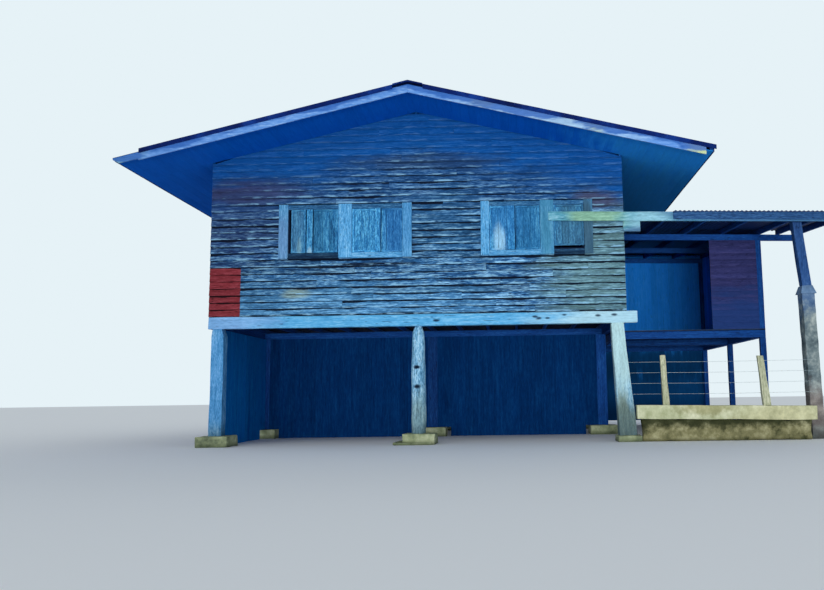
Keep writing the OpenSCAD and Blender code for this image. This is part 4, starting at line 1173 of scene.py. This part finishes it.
# %% [markdown]
# ## Barge boards, verge caps and ridge cap
# The barge boards hang under the sheet ends and catch the light: bleached almost white, with yellow-green
# stains where water drips. Bent strips of fibre cement cap the sheet edges, and a bent cap with two short
# wings covers the ridge.

# %% Roof edges
barge_wood = old_wood(
    "bleached_barge_boards", "#3f7ac8", "#6a9ce0", "#b4d6f6", streak=(500, 40), contrast=0.8, spread=0.12,
    cracks=0.3, damp="#2c5c9c", zones=[
        through_spot(2.4, 5.4, 2.2, 0.6, "#a8c8e0", 0.8),
        through_spot(1.25, 5.7, 0.25, 0.3, "#c8d8a8", 0.8),
        through_spot(3.1, 5.3, 0.22, 0.3, "#c0d088", 0.8),
        through_spot(4.75, 4.9, 0.3, 0.4, "#d0dc90", 0.9),
        through_spot(-4.7, 4.8, 0.4, 0.3, "#8ab8b8", 0.7),
        through_spot(-4.0, 5.0, 1.2, 0.4, "#5f90d8", 0.4),
        # This zone is painted shade: the top of the barge boards is darkened under the verge caps.
        (under_roof(0.09, 0.17), "#2c62b4", 0.85)])
edge_cement = sheet_material("algae_black_edge_caps", "#021244", "#062266", "#14429a", "#020e38", "#062266",
                             2.2, 0.85)
rng = random.Random(71)
barge = dict(bevel=0.003, step=0.25, wave=(2, 6))
dressed_piece("bleached_barges", barge_wood, "painted_trim", rng, {
    "left_barge_boards": dict(barge, tone=0.5), "right_barge_boards": dict(barge, tone=0.6)})
dressed_piece("bent_roof_edges", edge_cement, "roof_sheet", rng, {
    "verge_caps": dict(bevel=0.002, rough=0.002, tone=0.4),
    "ridge_cap": dict(bevel=0.003, rough=0.002, tone=0.6)})

# %% [markdown]
# ## The lean-to's front
# A long bleached plank is nailed across the house front and carries the lean-to roof. A dark board and a
# block are fixed to it.

# %% Lean-to front
plank_wood = old_wood(
    "lichen_stained_plank", "#34748c", "#5498ac", "#9cccdc", streak=(400, 36), contrast=1.0, spread=0.15,
    cracks=0.5, damp="#1c4258", zones=[
        through_spot(3.2, 3.9, 0.6, 0.4, "#98c088", 0.6),
        through_spot(4.1, 3.8, 0.5, 0.4, "#98cad8", 0.7),
        through_spot(6.2, 3.7, 2.2, 0.5, "#3f6c9c", 0.9),
        through_spot(3.85, 3.6, 0.35, 0.13, "#4f7498", 0.9)])
fascia_wood = old_wood("dark_fascia_board", "#10305c", "#2a5283", "#4a78a8", spread=0.2)
rng = random.Random(73)
dressed_piece("lean_to_plank", plank_wood, "bleached_timber", rng, {
    "lean_to_beam": dict(step=0.15, cross_step=0.05, rough=0.004, wave=(2, 8), tone=0.6),
    "lean_to_cleat": dict(bevel=0.006, step=0.1, rough=0.004, tone=0.1)})
dressed_piece("dark_fascia", fascia_wood, "dark_boards", rng, {
    "lean_to_fascia": dict(bevel=0.003, step=0.2, rough=0.004, tone=0.5)})

# %% [markdown]
# ## Concrete and masonry
# Poured concrete with a dirty skin: the formwork's edges have crumbled, rain has washed cement out and
# left sand, and the feet are stained. The wall under the kerb is rubble under a rough coat of mortar,
# which has fallen off in places: a Voronoi pattern of 160 mm cells gives the stones, and a noise hides
# most of them again.

# %% Concrete
def stone_material(name, dark, mid, pale, damp, grime_z, zones=(), rubble_mm=0, bump=0.008):
    """grime_z is how high the dirt reaches; rubble_mm is the size of the stones, 0 for none."""
    material, tree, surface = new_material(name)
    place = object_place(tree)
    clouds = clouds_of(place, 4.5, 8.0, 0.65)
    grit = clouds_of(place, 60.0, 3.0, 0.7)
    colour = three_tones(clouds, dark, mid, pale, 0.32, 0.68)
    play = lambda strength: remap(clouds, 0.3, 0.7, 0.6, 1.4)
    colour = with_zones(colour, zones, clouds, play)
    z = add("SeparateXYZ", {0: place}).outputs[2]
    ragged = calc("MULTIPLY_ADD", clouds, -grime_z, z)
    wash = remap(ragged, -grime_z * 0.5, grime_z * 0.5, 0.75, 0)
    colour = blend(wash, colour, linear(damp))
    height = calc("MULTIPLY_ADD", grit, 0.3, clouds)
    if rubble_mm:
        cells = {"Vector": place, "Scale": 1000 / rubble_mm}
        stones = add("TexVoronoi", cells, feature="DISTANCE_TO_EDGE").outputs[0]
        joint = calc("MULTIPLY", remap(stones, 0.02, 0.09, 1, 0),
                     remap(clouds, 0.34, 0.46, 0.55, 0))
        colour = blend(joint, colour, linear(damp))
        height = calc("MULTIPLY_ADD", joint, -1.5, height)
    finish_surface(surface, colour, height, 0.6, bump, 0.92, 0.2)
    return material


# %% Pads, column, kerb and its wall
concrete = stone_material("washed_concrete", "#5c6650", "#97a17c", "#c3c9a6", "#38452c", 0.08)
column_concrete = stone_material(
    "blue_grey_column_concrete", "#34444c", "#6e7e82", "#acb6b2", "#44443c", 0.3, zones=[
        through_spot(6.8, 3.0, 0.9, 0.95, "#4a70a4", 0.75),
        through_spot(6.8, 2.57, 0.9, 0.12, "#6a88a8", 0.6),
        through_spot(6.9, 0.5, 0.5, 0.5, "#8c7870", 0.6)])
kerb_concrete = stone_material(
    "pale_kerb_concrete", "#a6ac82", "#c6caa4", "#e8e8c8", "#687048", 0.05, bump=0.004, zones=[
        through_spot(4.9, 0.55, 0.5, 0.14, "#9c9868", 0.7),
        through_spot(6.2, 0.4, 1.0, 0.3, "#c8c498", 0.7)])
rubble = stone_material(
    "rubble_under_rough_mortar", "#56583a", "#88845e", "#bcb890", "#2a2e16", 0.06, rubble_mm=160,
    bump=0.02, zones=[through_spot(5.3, 0.38, 9, 0.17, "#30361e", 0.92)])
rng = random.Random(79)
for name, node, material, slot, bevel, step, cross_step, rough, wave in (
        ("crumbled_pads", "post_pads", concrete, "concrete", 0.015, 0.07, 0.07, 0.012, (7, 7)),
        ("poured_column", "concrete_column", column_concrete, "concrete", 0.012, 0.06, 0.06, 0.01, (5, 7)),
        ("poured_kerb", "kerb_beam", kerb_concrete, "concrete", 0.010, 0.09, 0.07, 0.007, (2, 5)),
        ("rubble_wall", "kerb_wall", rubble, "rough_masonry", 0.02, 0.05, 0.05, 0.03, (5, 6))):
    how = dict(bevel=bevel, step=step, cross_step=cross_step, rough=rough, wave=wave, segments=2)
    dressed_piece(name, material, slot, rng, {node: how}, smooth=50)

# %% [markdown]
# ## Upper post, stakes and wires
# A timber post stands on the column's cap. Two split stakes stand on the kerb, with four strands of fence
# wire behind them, drawn tight from the house post to the column.

# %% Upper post and stakes
upper_wood = old_wood("grey_purple_post_wood", "#162e58", "#2a5088", "#4c72a6", contrast=0.9, spread=0.2)
stake_wood = old_wood("split_stake_wood", "#84886c", "#b8bc9c", "#e4e2c8", spread=0.2, streak=(300, 26),
                      cracks=0.6, damp="#3c4c3c")
rng = random.Random(83)
dressed_piece("upper_post", upper_wood, "old_timber", rng, {
    "lean_to_upper_post": dict(bevel=0.008, step=0.08, cross_step=0.06, rough=0.007, wave=(2, 8),
                               tone=0.5)})
dressed_piece("split_stakes", stake_wood, "bleached_timber", rng, {
    "fence_stakes": dict(bevel=0.02, step=0.07, cross_step=0.05, rough=0.009, wave=(3, 10), tone=0.5,
                         segments=2)})

# %% Fence wires
wire_metal, tree, surface = new_material("galvanised_fence_wire")
rusty = remap(clouds_of(object_place(tree), 30.0, 4.0), 0.55, 0.68, 0, 1)
tree.links.new(blend(rusty, linear("#b4c4c8"), linear("#7a6558")), surface.inputs["Base Color"])
surface.inputs["Metallic"].default_value = 0.8
surface.inputs["Roughness"].default_value = 0.5
wires = Stock()
wire_steps, sag_depth = 80, 0.008
for part in loose_solids("fence_wires"):
    low, high = box_of(part)
    middle, radius = (low + high) / 2, (high.z - low.z) / 2 * 0.9
    rings = []
    for k in range(wire_steps + 1):
        share = k / wire_steps
        sag = sag_depth * math.sin(share * math.pi) ** 2
        centre = Vector((low.x + (high.x - low.x) * share, middle.y, middle.z - sag))
        rings.append([centre + radius * Vector((0, math.cos(t), math.sin(t)))
                      for t in (i * math.pi / 4 for i in range(8))])
    wires.loft(rings, rings, [[Vector((0.5, 0.5, 0))] * 8] * len(rings))
    part.free()
wires.piece("tight_fence_wires", wire_metal, "wire", "fence_wires", smooth=80)

# %% [markdown]
# ## Stage and light
# The house stands on a plain pale floor under a wide soft sky, as in an overcast noon. Two soft suns, a
# weak key from the front and a fill from behind, keep any side from going flat. A wide, low softbox far
# in front of the house, with a grid that keeps its light narrow, reaches in under the eaves. It tilts up
# a little, so that the floor isn't lit too much, and the pale floor throws light up at the undersides.

# %% Floor, sky and lamps
bpy.ops.mesh.primitive_plane_add(size=160, location=(0, 20, 0))
ground = bpy.context.object
ground.name = "studio_floor"
ground_paint, tree, surface = new_material("studio_floor_paint")
surface.inputs["Base Color"].default_value = linear("#f4f6f6")
surface.inputs["Roughness"].default_value = 0.95
surface.inputs["Specular IOR Level"].default_value = 0.0
ground.data.materials.append(ground_paint)

world = bpy.data.worlds.new("soft_sky")
world.use_nodes = True
tree = world.node_tree
tree.nodes.clear()
path = add("LightPath", tree=tree)
seen = calc("MAXIMUM", path.outputs["Is Camera Ray"], path.outputs["Is Glossy Ray"])
sky_light, backdrop = [
    add("Background", {"Color": linear(colour), "Strength": strength}, tree=tree).outputs[0]
    for colour, strength in (("#e2ecf6", 0.55), ("#e6f2f7", 1.0))]
add("OutputWorld", {0: add("MixShader", {0: seen, 1: sky_light, 2: backdrop}).outputs[0]})
bpy.context.scene.world = world

for name, energy, elevation, turn in (("soft_key", 0.4, 28, -12), ("back_fill", 0.5, 25, 170)):
    lamp = new_object(name, bpy.data.lights.new(name, "SUN"))
    lamp.data.energy, lamp.data.angle = energy, math.radians(60)
    lamp.rotation_euler = (math.radians(90 - elevation), 0, math.radians(turn))

panel = new_object("low_panel", bpy.data.lights.new("low_panel", "AREA"))
panel.data.shape, panel.data.size, panel.data.size_y = "RECTANGLE", 14, 1.4
panel.data.energy, panel.data.spread = 188, math.radians(36)
panel.location = (2, -22, 0.8)
panel.rotation_euler = (math.radians(97), 0, 0)
panel.visible_camera = False

bpy.context.scene.view_settings.view_transform = "Standard"
